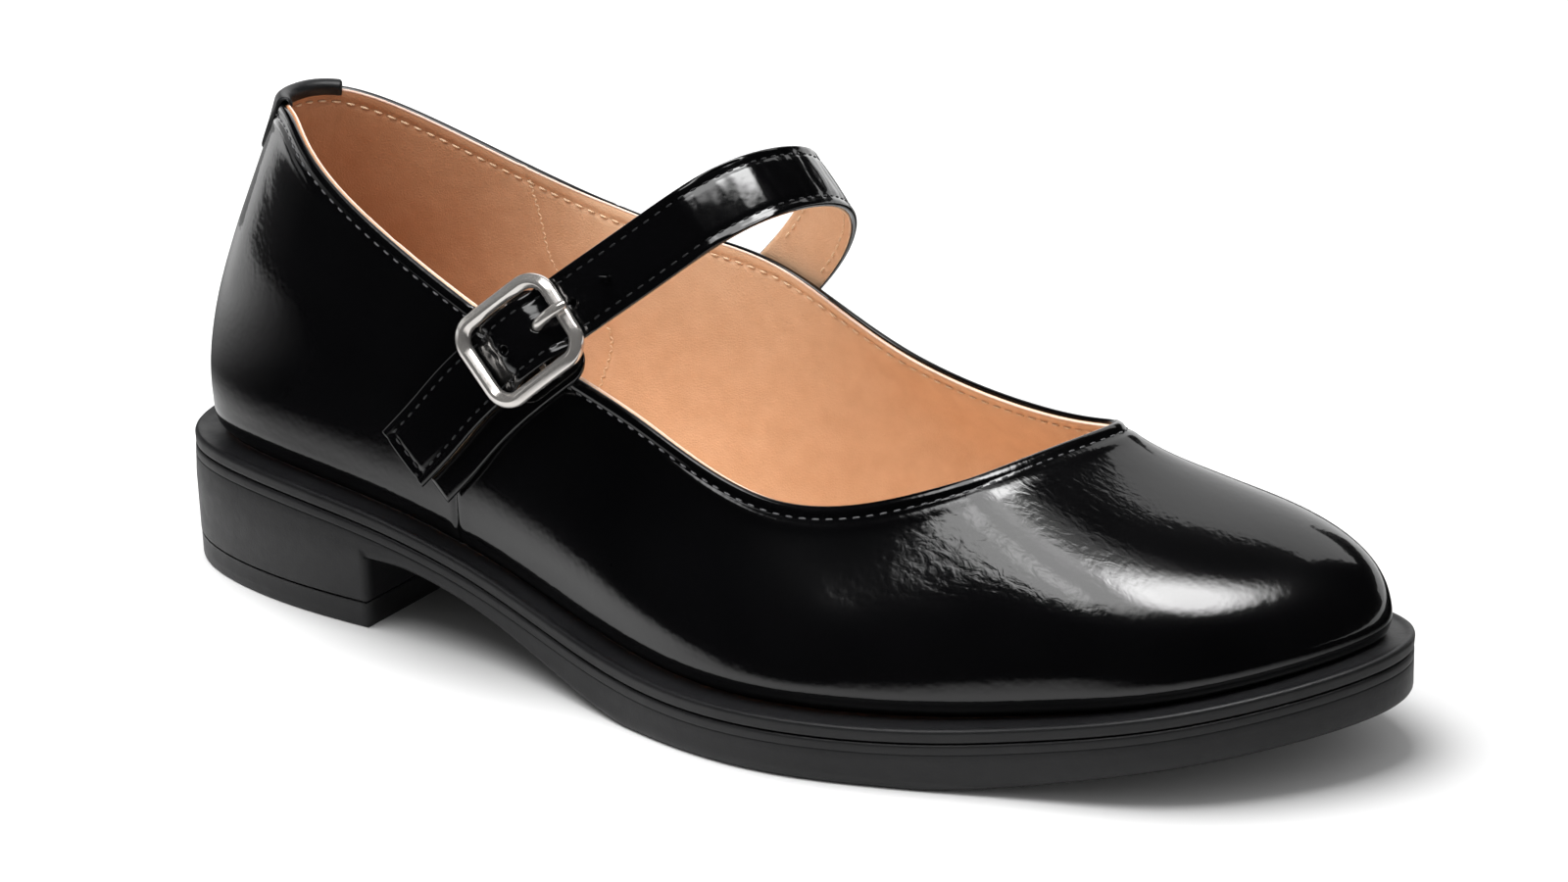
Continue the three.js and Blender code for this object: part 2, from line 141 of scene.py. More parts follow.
def sole_edge(u, out=0.0):
    """x and y of the sole's edge, moved out."""
    here = section(u)
    outx, outy = outward_at(u)
    return here["soleX"] + outx * out, here["soleY"] + outy * out


def smooth_step(value):
    value = np.clip(value, 0, 1)
    return value * value * (3 - 2 * value)


SOLE_PAIRS = 240
ACROSS = 18


def sole_pairs():
    """u on the outer and inner side for strips across the sole, one of them along the breast."""
    outer = np.linspace(0, 0.5, SOLE_PAIRS + 1)
    breast = int(np.argmin(np.abs(sole_edge(outer)[0] - BREAST_X)))

    def solve(u):
        for _ in range(12):
            slope = (sole_edge(u + 0.001)[0] - sole_edge(u - 0.001)[0]) / 0.002
            u = u - (sole_edge(u)[0] - BREAST_X) / slope
        return float(u)

    near = np.exp(-(((outer - outer[breast]) / 0.05) ** 2))
    inner = -outer - near * (solve(-outer[breast]) * -1 - outer[breast])
    return outer + near * (solve(outer[breast]) - outer[breast]), inner, breast


OUTER_U, INNER_U, BREAST = sole_pairs()
RING_U = np.concatenate([OUTER_U, INNER_U[-2:0:-1]])


class Surfaces:
    """Grids of points in millimetres that are sewn into one closed mesh."""

    def __init__(self):
        self.points, self.faces, self.count = [], [], 0

    def grid(self, points, closed_rows=False, closed_columns=False, flip=False):
        rows, columns = points.shape[:2]
        number = np.arange(rows * columns).reshape(rows, columns) + self.count
        if closed_rows:
            number = np.concatenate([number, number[:1]], 0)
        if closed_columns:
            number = np.concatenate([number, number[:, :1]], 1)
        quads = np.stack([number[:-1, :-1], number[:-1, 1:], number[1:, 1:], number[1:, :-1]], -1)
        quads = quads.reshape(-1, 4)
        self.faces.append(quads[:, ::-1] if flip else quads)
        self.points.append(points.reshape(-1, 3))
        self.count += rows * columns

    def piece(self, name, material, slot, replaces=(), seam=1e-4, smooth=True):
        mesh = bpy.data.meshes.new(name)
        mesh.from_pydata(
            (np.concatenate(self.points) * MM).tolist(), [], np.concatenate(self.faces).tolist()
        )
        work = bmesh.new()
        work.from_mesh(mesh)
        bmesh.ops.remove_doubles(work, verts=work.verts, dist=seam * MM)
        bmesh.ops.dissolve_degenerate(work, edges=work.edges, dist=seam * MM)
        work.to_mesh(mesh)
        work.free()
        mesh.polygons.foreach_set("use_smooth", [smooth] * len(mesh.polygons))
        mesh.materials.append(material)
        made = bpy.data.objects.new(name, mesh)
        bpy.context.collection.objects.link(made)
        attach(made, "root")
        if replaces:
            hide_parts(*replaces)
        return made


def xyz(x, y, z):
    return np.stack(np.broadcast_arrays(x, y, z), -1).astype(float)


def across(outer, inner, height, columns=ACROSS):
    """Strips of points from outer to inner points, at the height that x gives."""
    part = np.linspace(0, 1, columns + 1)[None, :, None]
    points = outer[:, None] * (1 - part) + inner[:, None] * part
    if height is not None:
        points[..., 2] = height(points[..., 0])
    return points


def new_material(name):
    """A material with its principled shader, and a function that adds and joins its nodes."""
    made = bpy.data.materials.new(name)
    made.use_nodes = True
    nodes, links = made.node_tree.nodes, made.node_tree.links
    shader = nodes["Principled BSDF"]

    def add(kind, settings=None, **inputs):
        node = nodes.new(kind)
        for key, value in (settings or {}).items():
            setattr(node, key, value)
        for key, value in inputs.items():
            socket = node.inputs[key.replace("_", " ")]
            if hasattr(value, "links"):
                links.new(value, socket)
            else:
                socket.default_value = value
        return node

    return made, shader, add, links


def set_sockets(shader, **values):
    for key, value in values.items():
        shader.inputs[key.replace("_", " ")].default_value = value


def colour_steps(add, factor, steps):
    """A colour ramp over (place, colour) steps."""
    ramp = add("ShaderNodeValToRGB", Fac=factor)
    elements = ramp.color_ramp.elements
    while len(elements) < len(steps):
        elements.new(0.5)
    for element, (place, colour) in zip(elements, steps):
        element.position = place
        element.color = (*colour, 1)
    return ramp.outputs["Color"]


def rubber_material():
    made, shader, add, links = new_material("moulded_rubber")
    place = add("ShaderNodeTexCoord").outputs["Object"]
    cloud = add("ShaderNodeTexNoise", Vector=place, Scale=45.0, Detail=3.0).outputs["Fac"]
    grain = add("ShaderNodeTexNoise", Vector=place, Scale=2600.0, Detail=2.0).outputs["Fac"]
    speck = add("ShaderNodeTexNoise", Vector=place, Scale=420.0, Detail=5.0).outputs["Fac"]
    tone = colour_steps(add, cloud, [(0.3, (0.0045, 0.0045, 0.0052)), (0.7, (0.0075, 0.0075, 0.0083))])
    links.new(tone, shader.inputs["Base Color"])
    rough = add("ShaderNodeMapRange", Value=speck, To_Min=0.40, To_Max=0.56)
    links.new(rough.outputs["Result"], shader.inputs["Roughness"])
    fine = add("ShaderNodeBump", Height=grain, Strength=0.25, Distance=0.00012)
    uneven = add("ShaderNodeBump", Height=speck, Strength=0.2, Distance=0.0003,
                 Normal=fine.outputs["Normal"])
    links.new(uneven.outputs["Normal"], shader.inputs["Normal"])
    set_sockets(shader, Specular_IOR_Level=0.4)
    return made


RUBBER = rubber_material()


def wall_points(u, profile):
    """Points on the sole's wall: (out, drop from the ledge) pairs, or functions of x."""
    return np.stack([xyz(*sole_edge(u, out(u) if callable(out) else out),
                         ledge_height(sole_edge(u)[0]) - drop) for out, drop in profile], 1)


def outsole_wall(u):
    """Levels down the wall to the tread. The lower edge is rounded in front of the breast."""
    x = sole_edge(u)[0]
    rounding = smooth_step((x - BREAST_X) / 10)
    top = ledge_height(x) - RIM_THICK
    levels = [
        xyz(*sole_edge(u, -3.0), top - 0.1),
        xyz(*sole_edge(u, -0.45), top - 0.12),
        xyz(*sole_edge(u, -0.15), top - 0.2),
        xyz(*sole_edge(u, -0.02), top - 0.42),
        xyz(*sole_edge(u, 0.0), top - 0.8),
        xyz(*sole_edge(u, 0.0), top - 1.75),
        xyz(*sole_edge(u, -0.03), top - 1.9),
        xyz(*sole_edge(u, -0.14), top - 2.02),
        xyz(*sole_edge(u, -0.03), top - 2.14),
        xyz(*sole_edge(u, 0.0), top - 2.3),
    ]
    foot = tread_height(x)
    upper_end = top - 2.3
    lower_end = foot + 1.5 * rounding
    for part in (0.3, 0.65, 1.0):
        levels.append(xyz(*sole_edge(u, 0.0), upper_end * (1 - part) + lower_end * part))
    for angle in (20, 40, 60, 75, 90):
        turn = math.radians(angle)
        inwards = 1.4 * (1 - math.cos(turn)) * rounding
        levels.append(xyz(*sole_edge(u, -inwards), lower_end - 1.5 * rounding * math.sin(turn)))
    return np.stack(levels, 1)


def heel_wall(u, top, bottom, inset_top, inset_bottom, rounding, levels=8):
    """The heel's wall between two heights, drawn in, and never in front of the breast."""
    x = sole_edge(u)[0]
    points = []
    for part in np.linspace(0, 1, levels):
        points.append((inset_top + (inset_bottom - inset_top) * part,
                       top + (bottom + rounding - top) * part))
    for angle in (30, 60, 90) if rounding else ():
        turn = math.radians(angle)
        points.append((inset_bottom + rounding * (1 - math.cos(turn)),
                       bottom + rounding * (1 - math.sin(turn))))
    rows = []
    for inset, z in points:
        px, py = sole_edge(u, -inset)
        px = np.where(x > BREAST_X - 0.5, np.minimum(BREAST_X, x), px)
        rows.append(xyz(px, py, z))
    return np.stack(rows, 1)


def build_outsole():
    made = Surfaces()
    wall = outsole_wall(RING_U)
    made.grid(wall, closed_rows=True)
    outer, inner = outsole_wall(OUTER_U), outsole_wall(INNER_U)
    made.grid(across(outer[:, 0], inner[:, 0], lambda x: ledge_height(x) - RIM_THICK - 0.1))
    made.grid(across(outer[BREAST:, -1], inner[BREAST:, -1], tread_height), flip=True)
    heel_outer, heel_inner = OUTER_U[: BREAST + 1], INNER_U[: BREAST + 1]
    low = TOP_PIECE_THICK + 0.3

    def block(u):
        return heel_wall(u, tread_height(sole_edge(u)[0]), low, 0, HEEL_TAPER * 0.65, 0.25)

    a, b = block(heel_outer), block(heel_inner)
    made.grid(a)
    made.grid(b, flip=True)
    breast = across(a[-1], b[-1], None)
    breast[0, :, 2] = tread_height(breast[0, :, 0])
    made.grid(breast, flip=True)
    made.grid(across(a[:, -1], b[:, -1], lambda x: low + 0 * x), flip=True)
    return made.piece("outsole_and_heel", RUBBER, "sole_rubber", ["outsole"])


build_outsole()


# ---- Top piece of the heel --------------------------------------------------------------------
# The wearing layer glued under the heel block, black rubber 5 mm thick, with a fine joint line
# above it and its lower edge worn slightly round.
def build_top_piece():
    made = Surfaces()
    top = TOP_PIECE_THICK

    def block(u):
        return heel_wall(u, top, 0.0, HEEL_TAPER * 0.65 + 0.1, HEEL_TAPER, 0.7)

    a, b = block(OUTER_U[: BREAST + 1]), block(INNER_U[: BREAST + 1])
    made.grid(a)
    made.grid(b, flip=True)
    made.grid(across(a[-1], b[-1], None), flip=True)
    made.grid(across(a[:, -1], b[:, -1], lambda x: 0 * x), flip=True)
    made.grid(across(a[:, 0], b[:, 0], lambda x: top + 0 * x))
    return made.piece("heel_top_piece", RUBBER, "sole_rubber", ["heel_top_lift"])


build_top_piece()


# ---- Rim of the sole --------------------------------------------------------------------------
# The moulding's upper edge, which stands out round the upper as a ledge. Its border is a thin
# rounded lip, and a parting line runs below it.
RIM_PROFILE = (
    (-4.0, 0.0), (-3.0, 0.0), (-2.3, 0.0), (-1.8, -0.04), (-1.4, -0.17), (-1.0, -0.33),
    (-0.65, -0.4), (-0.3, -0.34), (-0.05, -0.16), (0.06, 0.12), (0.08, 0.45), (0.04, 0.9),
    (0.0, 1.4), (-0.02, 1.8), (-0.1, 2.02), (-0.3, 2.14), (-0.8, 2.2), (-3.0, 2.2),
)


def build_rim():
    made = Surfaces()
    under = [(lambda u: -section(u)["ledge"] - 3.5, 0.02), (lambda u: -section(u)["ledge"], 0.01)]
    made.grid(wall_points(RING_U, under + list(RIM_PROFILE)), closed_rows=True)
    outer, inner = wall_points(OUTER_U, under), wall_points(INNER_U, under)
    made.grid(across(outer[:, 0], inner[:, 0], lambda x: ledge_height(x) - 0.02))
    outer, inner = wall_points(OUTER_U, RIM_PROFILE), wall_points(INNER_U, RIM_PROFILE)
    made.grid(across(outer[:, -1], inner[:, -1], lambda x: ledge_height(x) - 2.2), flip=True)
    return made.piece("sole_rim", RUBBER, "sole_rubber", ["midsole"])


build_rim()


# ---- Insole -----------------------------------------------------------------------------------
# A sock of tan lining leather glued over a board. It fills the bottom of the shoe, a little
# dished, and its edge turns down where it meets the lining.
WALL = 2.0
GAP = 0.3
INSOLE_THICK = 2.0


def lining_material(name, fine_scale, shaded_heel_tint, lit_toe_tint):
    """Tan leather, darker and redder towards the heel and paler towards the toe: painted shade."""
    made, shader, add, links = new_material(name)
    place = add("ShaderNodeTexCoord").outputs["Object"]
    along = add("ShaderNodeSeparateXYZ", Vector=place).outputs["X"]
    cloud = add("ShaderNodeTexNoise", Vector=place, Scale=38.0, Detail=4.0).outputs["Fac"]
    mottle = add("ShaderNodeTexNoise", Vector=place, Scale=240.0, Detail=3.0).outputs["Fac"]
    pores = add("ShaderNodeTexVoronoi", {"feature": "DISTANCE_TO_EDGE"}, Vector=place,
                Scale=fine_scale).outputs["Distance"]
    fibre = add("ShaderNodeTexNoise", Vector=place, Scale=900.0, Detail=4.0).outputs["Fac"]
    # Painted shade: the tone runs from the heel tint to the toe tint along the shoe, with a random
    # cloud.
    painted_shade_along = add("ShaderNodeMapRange", {"interpolation_type": "SMOOTHSTEP"}, Value=along,
                      From_Min=-0.105, From_Max=-0.015)
    shade = add("ShaderNodeMath", {"operation": "MULTIPLY_ADD"}, Value=cloud)
    shade.inputs[1].default_value = 0.30
    links.new(painted_shade_along.outputs["Result"], shade.inputs[2])
    tone = colour_steps(add, shade.outputs["Value"], [(0.12, shaded_heel_tint), (1.05 / 1.3, lit_toe_tint)])
    patch = colour_steps(add, mottle, [(0.3, (0.90, 0.86, 0.82)), (0.7, (1.0, 1.0, 1.0))])
    colour = add("ShaderNodeMixRGB", {"blend_type": "MULTIPLY"}, Fac=0.8, Color1=tone, Color2=patch)
    links.new(colour.outputs["Color"], shader.inputs["Base Color"])
    rough = add("ShaderNodeMapRange", Value=fibre, To_Min=0.46, To_Max=0.64)
    links.new(rough.outputs["Result"], shader.inputs["Roughness"])
    cells = add("ShaderNodeMapRange", Value=pores, From_Max=0.35)
    grain = add("ShaderNodeBump", Height=cells.outputs["Result"], Strength=0.30, Distance=0.00014)
    soft = add("ShaderNodeBump", Height=mottle, Strength=0.30, Distance=0.0006,
               Normal=grain.outputs["Normal"])
    links.new(soft.outputs["Normal"], shader.inputs["Normal"])
    set_sockets(shader, Specular_IOR_Level=0.35)
    return made


# Each gets a dark tint at the heel as painted shade and a pale, lit tint towards the toe.
SOCK_LEATHER = lining_material("sock_leather", 1500.0, (0.52, 0.28, 0.155), (0.93, 0.70, 0.50))
LINING_LEATHER = lining_material("lining_leather", 1700.0, (0.46, 0.215, 0.105),
                                 (0.80, 0.52, 0.33))


def insole_top(x, y):
    """The sock's height: slightly hollow, with a faint unevenness from being glued down."""
    ripple = 0.10 * np.sin(x / 11.0 + 0.6 * np.sin(y / 9.0)) * np.cos(y / 13.0 + 0.4)
    return ledge_height(x) + GAP + INSOLE_THICK + ripple


def build_insole():
    made = Surfaces()

    def edge(u):
        margin = section(u)["ledge"] + WALL + 0.25
        x = sole_edge(u, -margin)[0]
        base = ledge_height(x) + GAP
        rows = [xyz(*sole_edge(u, -margin), base)]
        for angle in (0, 30, 60, 90):
            turn = math.radians(angle)
            px, py = sole_edge(u, -margin - 0.9 * (1 - math.cos(turn)))
            rows.append(xyz(px, py, insole_top(px, py) - 0.9 * (1 - math.sin(turn))))
        return np.stack(rows, 1)

    made.grid(edge(RING_U), closed_rows=True, flip=True)
    outer, inner = edge(OUTER_U), edge(INNER_U)
    top = across(outer[:, -1], inner[:, -1], None, 40)
    top[..., 2] = insole_top(top[..., 0], top[..., 1])
    made.grid(top)
    made.grid(across(outer[:, 0], inner[:, 0], lambda x: ledge_height(x) + GAP, 40), flip=True)
    return made.piece("insole_sock", SOCK_LEATHER, "lining_leather", ["insole"])


build_insole()


# ---- Upper ------------------------------------------------------------------------------------
# Black patent leather pulled over the last and glued under its foot. Vamp and quarters are closed
# at a side seam on each side, and the topline is folded over and stitched once round.
# A place on the upper is (u, v): u round the shoe, and v from 0 at the foot to 1 at the topline.
UPPER_COLUMNS = 640
UPPER_LEVELS = 76
UPPER_GIRTH = 545.0
OUTER_SEAM_U, INNER_SEAM_U, BACK_SEAM_U = 0.176, 0.826, 0.0
TOPLINE_SEAM_DOWN = 2.4


def last_point(u, v):
    """The outside of the upper: v runs from 0 at the ledge to 1 at the topline."""
    row = section(u)
    fx, fy = sole_edge(u, -row["ledge"])
    foot = xyz(fx, fy, ledge_height(fx) + GAP)
    outx, outy = outward_at(u)
    top = xyz(row["topX"], row["topY"], row["topZ"])
    dx, dy = fx - row["topX"], fy - row["topY"]
    size = np.hypot(dx, dy)
    foot_pull = foot + xyz(outx * row["foot"], outy * row["foot"], row["rise"])
    top_pull = top + xyz(dx / size * row["lip"], dy / size * row["lip"], -row["drop"])
    v = np.asarray(v)[..., None]
    return ((1 - v) ** 3 * foot + 3 * (1 - v) ** 2 * v * foot_pull
            + 3 * (1 - v) * v * v * top_pull + v**3 * top)


def unit(vectors):
    return vectors / np.linalg.norm(vectors, axis=-1, keepdims=True)


def last_frame(u, v):
    """Point, outward normal and upward direction on the last's surface."""
    u, v = np.broadcast_arrays(np.asarray(u, float), np.asarray(v, float))
    rise = unit(last_point(u, np.minimum(v + 0.001, 1)) - last_point(u, np.maximum(v - 0.001, 0)))
    forward = last_point(u + 0.001, v) - last_point(u - 0.001, v)
    return last_point(u, v), unit(np.cross(forward, rise)), rise


def upper_places():
    """Columns round the shoe, closer together at the seams."""
    even = np.linspace(0, 1, UPPER_COLUMNS, endpoint=False)
    seams = [seam + step * 0.00045 for seam in (OUTER_SEAM_U, INNER_SEAM_U, 1.0)
             for step in range(-5, 6)]
    u = np.array([value for value in even
                  if all(abs((value - seam + 0.5) % 1 - 0.5) > 0.0026
                         for seam in (OUTER_SEAM_U, INNER_SEAM_U, 1.0))] + [s % 1 for s in seams])
    return np.sort(u)


UPPER_U = upper_places()
TALL = np.linspace(0, 1, 161)


def wall_runs(u):
    """How far along the last each height of TALL lies from the foot, a row for each u."""
    spine = last_point(u[:, None] + 0 * TALL, TALL[None, :] + 0 * u[:, None])
    steps = np.linalg.norm(np.diff(spine, axis=1), axis=2)
    return np.concatenate([np.zeros((len(u), 1)), np.cumsum(steps, 1)], 1)


def above_and_below(u, v):
    """Millimetres above the foot and below the topline at a grid of places."""
    run = wall_runs(u)
    above = np.stack([np.interp(row_v, TALL, row_run) for row_v, row_run in zip(v, run)])
    return above, run[:, -1:] - above


def v_below_top(u, distance):
    """v at a distance in millimetres below the topline."""
    u = np.atleast_1d(u)
    run = wall_runs(u)
    wanted = run[:, -1:] - np.broadcast_to(np.atleast_2d(distance), (len(u), 1))
    return np.array([np.interp(w, r, TALL) for w, r in zip(wanted[:, 0], run)])


# Soft creases: from and to as (u, v), how wide the trough is in millimetres, and its depth.
# A negative depth is a ridge.
CREASES = (
    ((0.372, 0.93), (0.386, 0.80), 1.6, 0.03),
    ((0.388, 0.94), (0.402, 0.78), 1.5, 0.03),
    ((0.410, 0.95), (0.428, 0.80), 1.6, 0.03),
    ((0.062, 0.80), (0.082, 0.70), 2.0, 0.035),
    ((0.068, 0.76), (0.090, 0.66), 2.4, -0.025),
    ((0.590, 0.92), (0.578, 0.76), 1.8, 0.05),
    ((0.610, 0.92), (0.596, 0.72), 2.0, 0.07),
    ((0.632, 0.92), (0.620, 0.70), 2.4, 0.05),
    ((0.905, 0.74), (0.884, 0.64), 2.4, 0.05),
)


def upper_relief(u, points, below_top, above_foot):
    """How far the leather stands out from the last: seams, folds and soft creases."""
    relief = -1.1 * np.clip(1 - above_foot / 2.8, 0, 1) ** 2
    relief = relief + 0.10 * np.exp(-(((above_foot - 4.2) / 1.6) ** 2))
    relief = relief - 0.26 * np.exp(-(((below_top - TOPLINE_SEAM_DOWN) / 0.55) ** 2))
    relief = relief + 0.14 * np.exp(-(((below_top - 1.1) / 0.7) ** 2))
    relief = relief + 0.08 * np.exp(-(((below_top - 4.1) / 1.1) ** 2))
    for seam in (OUTER_SEAM_U, INNER_SEAM_U, BACK_SEAM_U):
        away = ((u - seam + 0.5) % 1 - 0.5) * UPPER_GIRTH
        relief = relief - 0.30 * np.exp(-((away / 0.34) ** 2))
        relief = relief + 0.07 * np.exp(-(((np.abs(away) - 1.3) / 0.9) ** 2))
    for (u0, v0), (u1, v1), width, depth in CREASES:
        start, end = last_point(np.array(u0), np.array(v0)), last_point(np.array(u1), np.array(v1))
        line = end - start
        part = np.clip(((points - start) @ line) / (line @ line), 0, 1)
        away = np.linalg.norm(points - start - part[..., None] * line, axis=-1)
        fade = np.sin(np.pi * np.clip(part * 0.9 + 0.05, 0, 1)) ** 0.5
        relief = relief - depth * fade * np.exp(-((away / width) ** 2))
    x, y, z = points[..., 0], points[..., 1], points[..., 2]
    wave = (np.sin(x / 7.9 + 1.3 * np.sin(z / 6.1 + 0.4)) * np.sin(z / 8.7 + y / 9.3 + 1.1)
            + 0.6 * np.sin(x / 3.7 + y / 5.3 + 2.0 * np.sin(z / 4.9)))
    calm = np.clip(above_foot / 6, 0, 1) * np.clip(below_top / 6, 0.2, 1)
    return relief + 0.030 * wave * calm


def leather_surface(u, v):
    """Points on the finished outside of the upper, with their normals."""
    points, normals, rise = last_frame(u, v)
    above, below = above_and_below(u[:, 0], v)
    relief = upper_relief(u, points, below, above)
    return points + normals * relief[..., None], normals, rise


def patent_material():
    made, shader, add, links = new_material("black_patent")
    place = add("ShaderNodeTexCoord").outputs["Object"]
    swell = add("ShaderNodeTexNoise", Vector=place, Scale=95.0, Detail=2.0).outputs["Fac"]
    grain = add("ShaderNodeTexVoronoi", {"feature": "SMOOTH_F1"}, Vector=place,
                Scale=900.0).outputs["Distance"]
    peel = add("ShaderNodeTexNoise", Vector=place, Scale=520.0, Detail=3.0).outputs["Fac"]
    where = add("ShaderNodeTexNoise", Vector=place, Scale=26.0, Detail=2.0).outputs["Fac"]
    tone = colour_steps(add, where, [(0.3, (0.0010, 0.0010, 0.0012)), (0.7, (0.0022, 0.0022, 0.0025))])
    links.new(tone, shader.inputs["Base Color"])
    rough = add("ShaderNodeMapRange", Value=where, To_Min=0.16, To_Max=0.26)
    links.new(rough.outputs["Result"], shader.inputs["Roughness"])
    soft = add("ShaderNodeBump", Height=swell, Strength=0.06, Distance=0.0010)
    pebble = add("ShaderNodeBump", Height=grain, Strength=0.05, Distance=0.00025,
                 Normal=soft.outputs["Normal"])
    skin = add("ShaderNodeBump", Height=peel, Strength=0.06, Distance=0.00018,
               Normal=pebble.outputs["Normal"])
    # Fine wrinkles across the vamp where the foot bends, fading out round them.
    near = add("ShaderNodeVectorMath", {"operation": "DISTANCE"})
    links.new(place, near.inputs[0])
    near.inputs[1].default_value = (0.066, -0.019, 0.044)
    fade = add("ShaderNodeMapRange", {"interpolation_type": "SMOOTHSTEP"},
               Value=near.outputs["Value"], From_Min=0.034, From_Max=0.010, To_Min=0.0, To_Max=0.12)
    turned = add("ShaderNodeMapping", Vector=place, Rotation=(0.0, 0.0, 0.5),
                 Scale=(1.0, 2.2, 1.4))
    lines = add("ShaderNodeTexNoise", Vector=turned.outputs["Vector"], Scale=330.0, Detail=3.0,
                Distortion=0.6).outputs["Fac"]
    wrinkled = add("ShaderNodeBump", Height=lines, Distance=0.0006, Normal=skin.outputs["Normal"])
    links.new(fade.outputs["Result"], wrinkled.inputs["Strength"])
    links.new(wrinkled.outputs["Normal"], shader.inputs["Normal"])
    links.new(wrinkled.outputs["Normal"], shader.inputs["Coat Normal"])
    set_sockets(shader, Coat_Weight=1.0, Coat_Roughness=0.07, Coat_IOR=1.5, Specular_IOR_Level=0.06)
    return made


PATENT = patent_material()


def build_upper():
    made = Surfaces()
    level = np.linspace(0, 1, UPPER_LEVELS + 1)
    level = level + 0.035 * np.sin(2 * np.pi * level) * -1
    top_limit = v_below_top(UPPER_U, 0.55)[:, None]
    u = UPPER_U[:, None] + 0 * level
    v = level[None, :] * top_limit
    outside, normals, rise = leather_surface(u, v)
    edge, edge_normal, edge_rise = outside[:, -1], normals[:, -1], rise[:, -1]
    loops = [outside]
    bead = 0.72
    for angle in (22, 45, 68, 90, 112, 135, 158, 180):
        turn = math.radians(angle)
        loops.append((edge + edge_normal * bead * (math.cos(turn) - 1)
                      + edge_rise * bead * math.sin(turn))[:, None])
    bare, bare_normal, _ = last_frame(u, v)
    inner_levels = (-1, -4, -8, -14, -22, -32, -44, -60, 1)
    for index in inner_levels:
        at = index if index < 0 else 0
        loops.append((bare[:, at] - bare_normal[:, at] * 1.25
                      + rise[:, at] * (0.25 if index < 0 else 0.0))[:, None])
    ring = np.concatenate(loops, 1)
    # The foot goes down to the rim, so that no light shows under the leather.
    foot = ring[:, [-1, 0]] - np.array([0, 0, GAP - 0.04])
    ring = np.concatenate([ring, foot], 1)
    made.grid(ring, closed_rows=True, closed_columns=True)
    return made.piece("patent_upper", PATENT, "patent_leather", ["upper"])


build_upper()


# ---- Lining -----------------------------------------------------------------------------------
# Tan leather glued inside the upper, up to the fold of the topline and down under the insole. Its
# heel part is joined by a zigzag seam at each side, and is creased a little at the back.
# The inner side's seam from the topline down as (u, v). The outer side's is its mirror image.
INNER_LINING_SEAM = np.array([(0.8620, 1.0), (0.8594, 0.96), (0.8557, 0.865), (0.8526, 0.755),
                              (0.8490, 0.640), (0.8400, 0.565), (0.8290, 0.500), (0.8270, 0.410),
                              (0.8300, 0.290), (0.8330, 0.140)])
LINING_SEAM_DOWN, LINING_GIRTH, MIRROR_U = 2.6, 430.0, 1.008
LINING_SEAMS = (INNER_LINING_SEAM, INNER_LINING_SEAM * (-1, 1) + (MIRROR_U, 0))
LINING_CREASES = (((0.9425, 0.95), (0.9465, 0.80), 0.7, 0.22),
                  ((0.9690, 0.95), (0.9640, 0.79), 0.8, 0.16))


def run_along(points):
    """Distances along a line of points."""
    return np.concatenate([[0], np.cumsum(np.linalg.norm(np.diff(points, axis=0), axis=1))])


def round_steps(count):
    return np.linspace(0, 2 * np.pi, count, endpoint=False)


def seam_line(seam, count=240):
    """u and v along a seam, evenly by row."""
    place = np.linspace(0, len(seam) - 1, count)
    line = on_spline(spline_controls(seam, False), place, False)
    return line[:, 0], np.clip(line[:, 1], 0, 1)


def lining_surface(u, v, inwards):
    """Points on the lining's face, how far in from the last, with the outward normals."""
    points, normals, rise = last_frame(u, v)
    x, z = points[..., 0], points[..., 2]
    loose = 0.10 * np.sin(x / 8.3 + 0.7 * np.sin(z / 7.0)) * np.sin(z / 9.1 + 0.8)
    dip = 0 * x
    for seam in LINING_SEAMS:
        line_u, line_v = seam_line(seam)
        order = np.argsort(line_v)
        along = np.interp(v, line_v[order], line_u[order])
        away = ((u - along + 0.5) % 1 - 0.5) * LINING_GIRTH
        dip = dip + 0.26 * np.exp(-((away / 0.5) ** 2)) * (v > 0.12)
        dip = dip - 0.08 * np.exp(-(((away - 1.6) / 1.2) ** 2)) * (v > 0.12)
    for (u0, v0), (u1, v1), wide, depth in LINING_CREASES:
        ends = last_point(np.array([u0, u1]), np.array([v0, v1]))
        line = ends[1] - ends[0]
        part = np.clip(((points - ends[0]) @ line) / (line @ line), 0, 1)
        away = np.linalg.norm(points - ends[0] - part[..., None] * line, axis=-1)
        dip = dip + depth * np.sin(np.pi * np.clip(part, 0.06, 0.94)) * np.exp(-((away / wide) ** 2))
    return points - normals * (inwards + 0.12 + loose - dip)[..., None], normals, rise


# Its darker tint towards the heel is painted shade, as in the tan leathers.
PALE_EDGE = lining_material("pale_lining_edge", 1700.0, (0.84, 0.60, 0.50), (0.92, 0.72, 0.61))


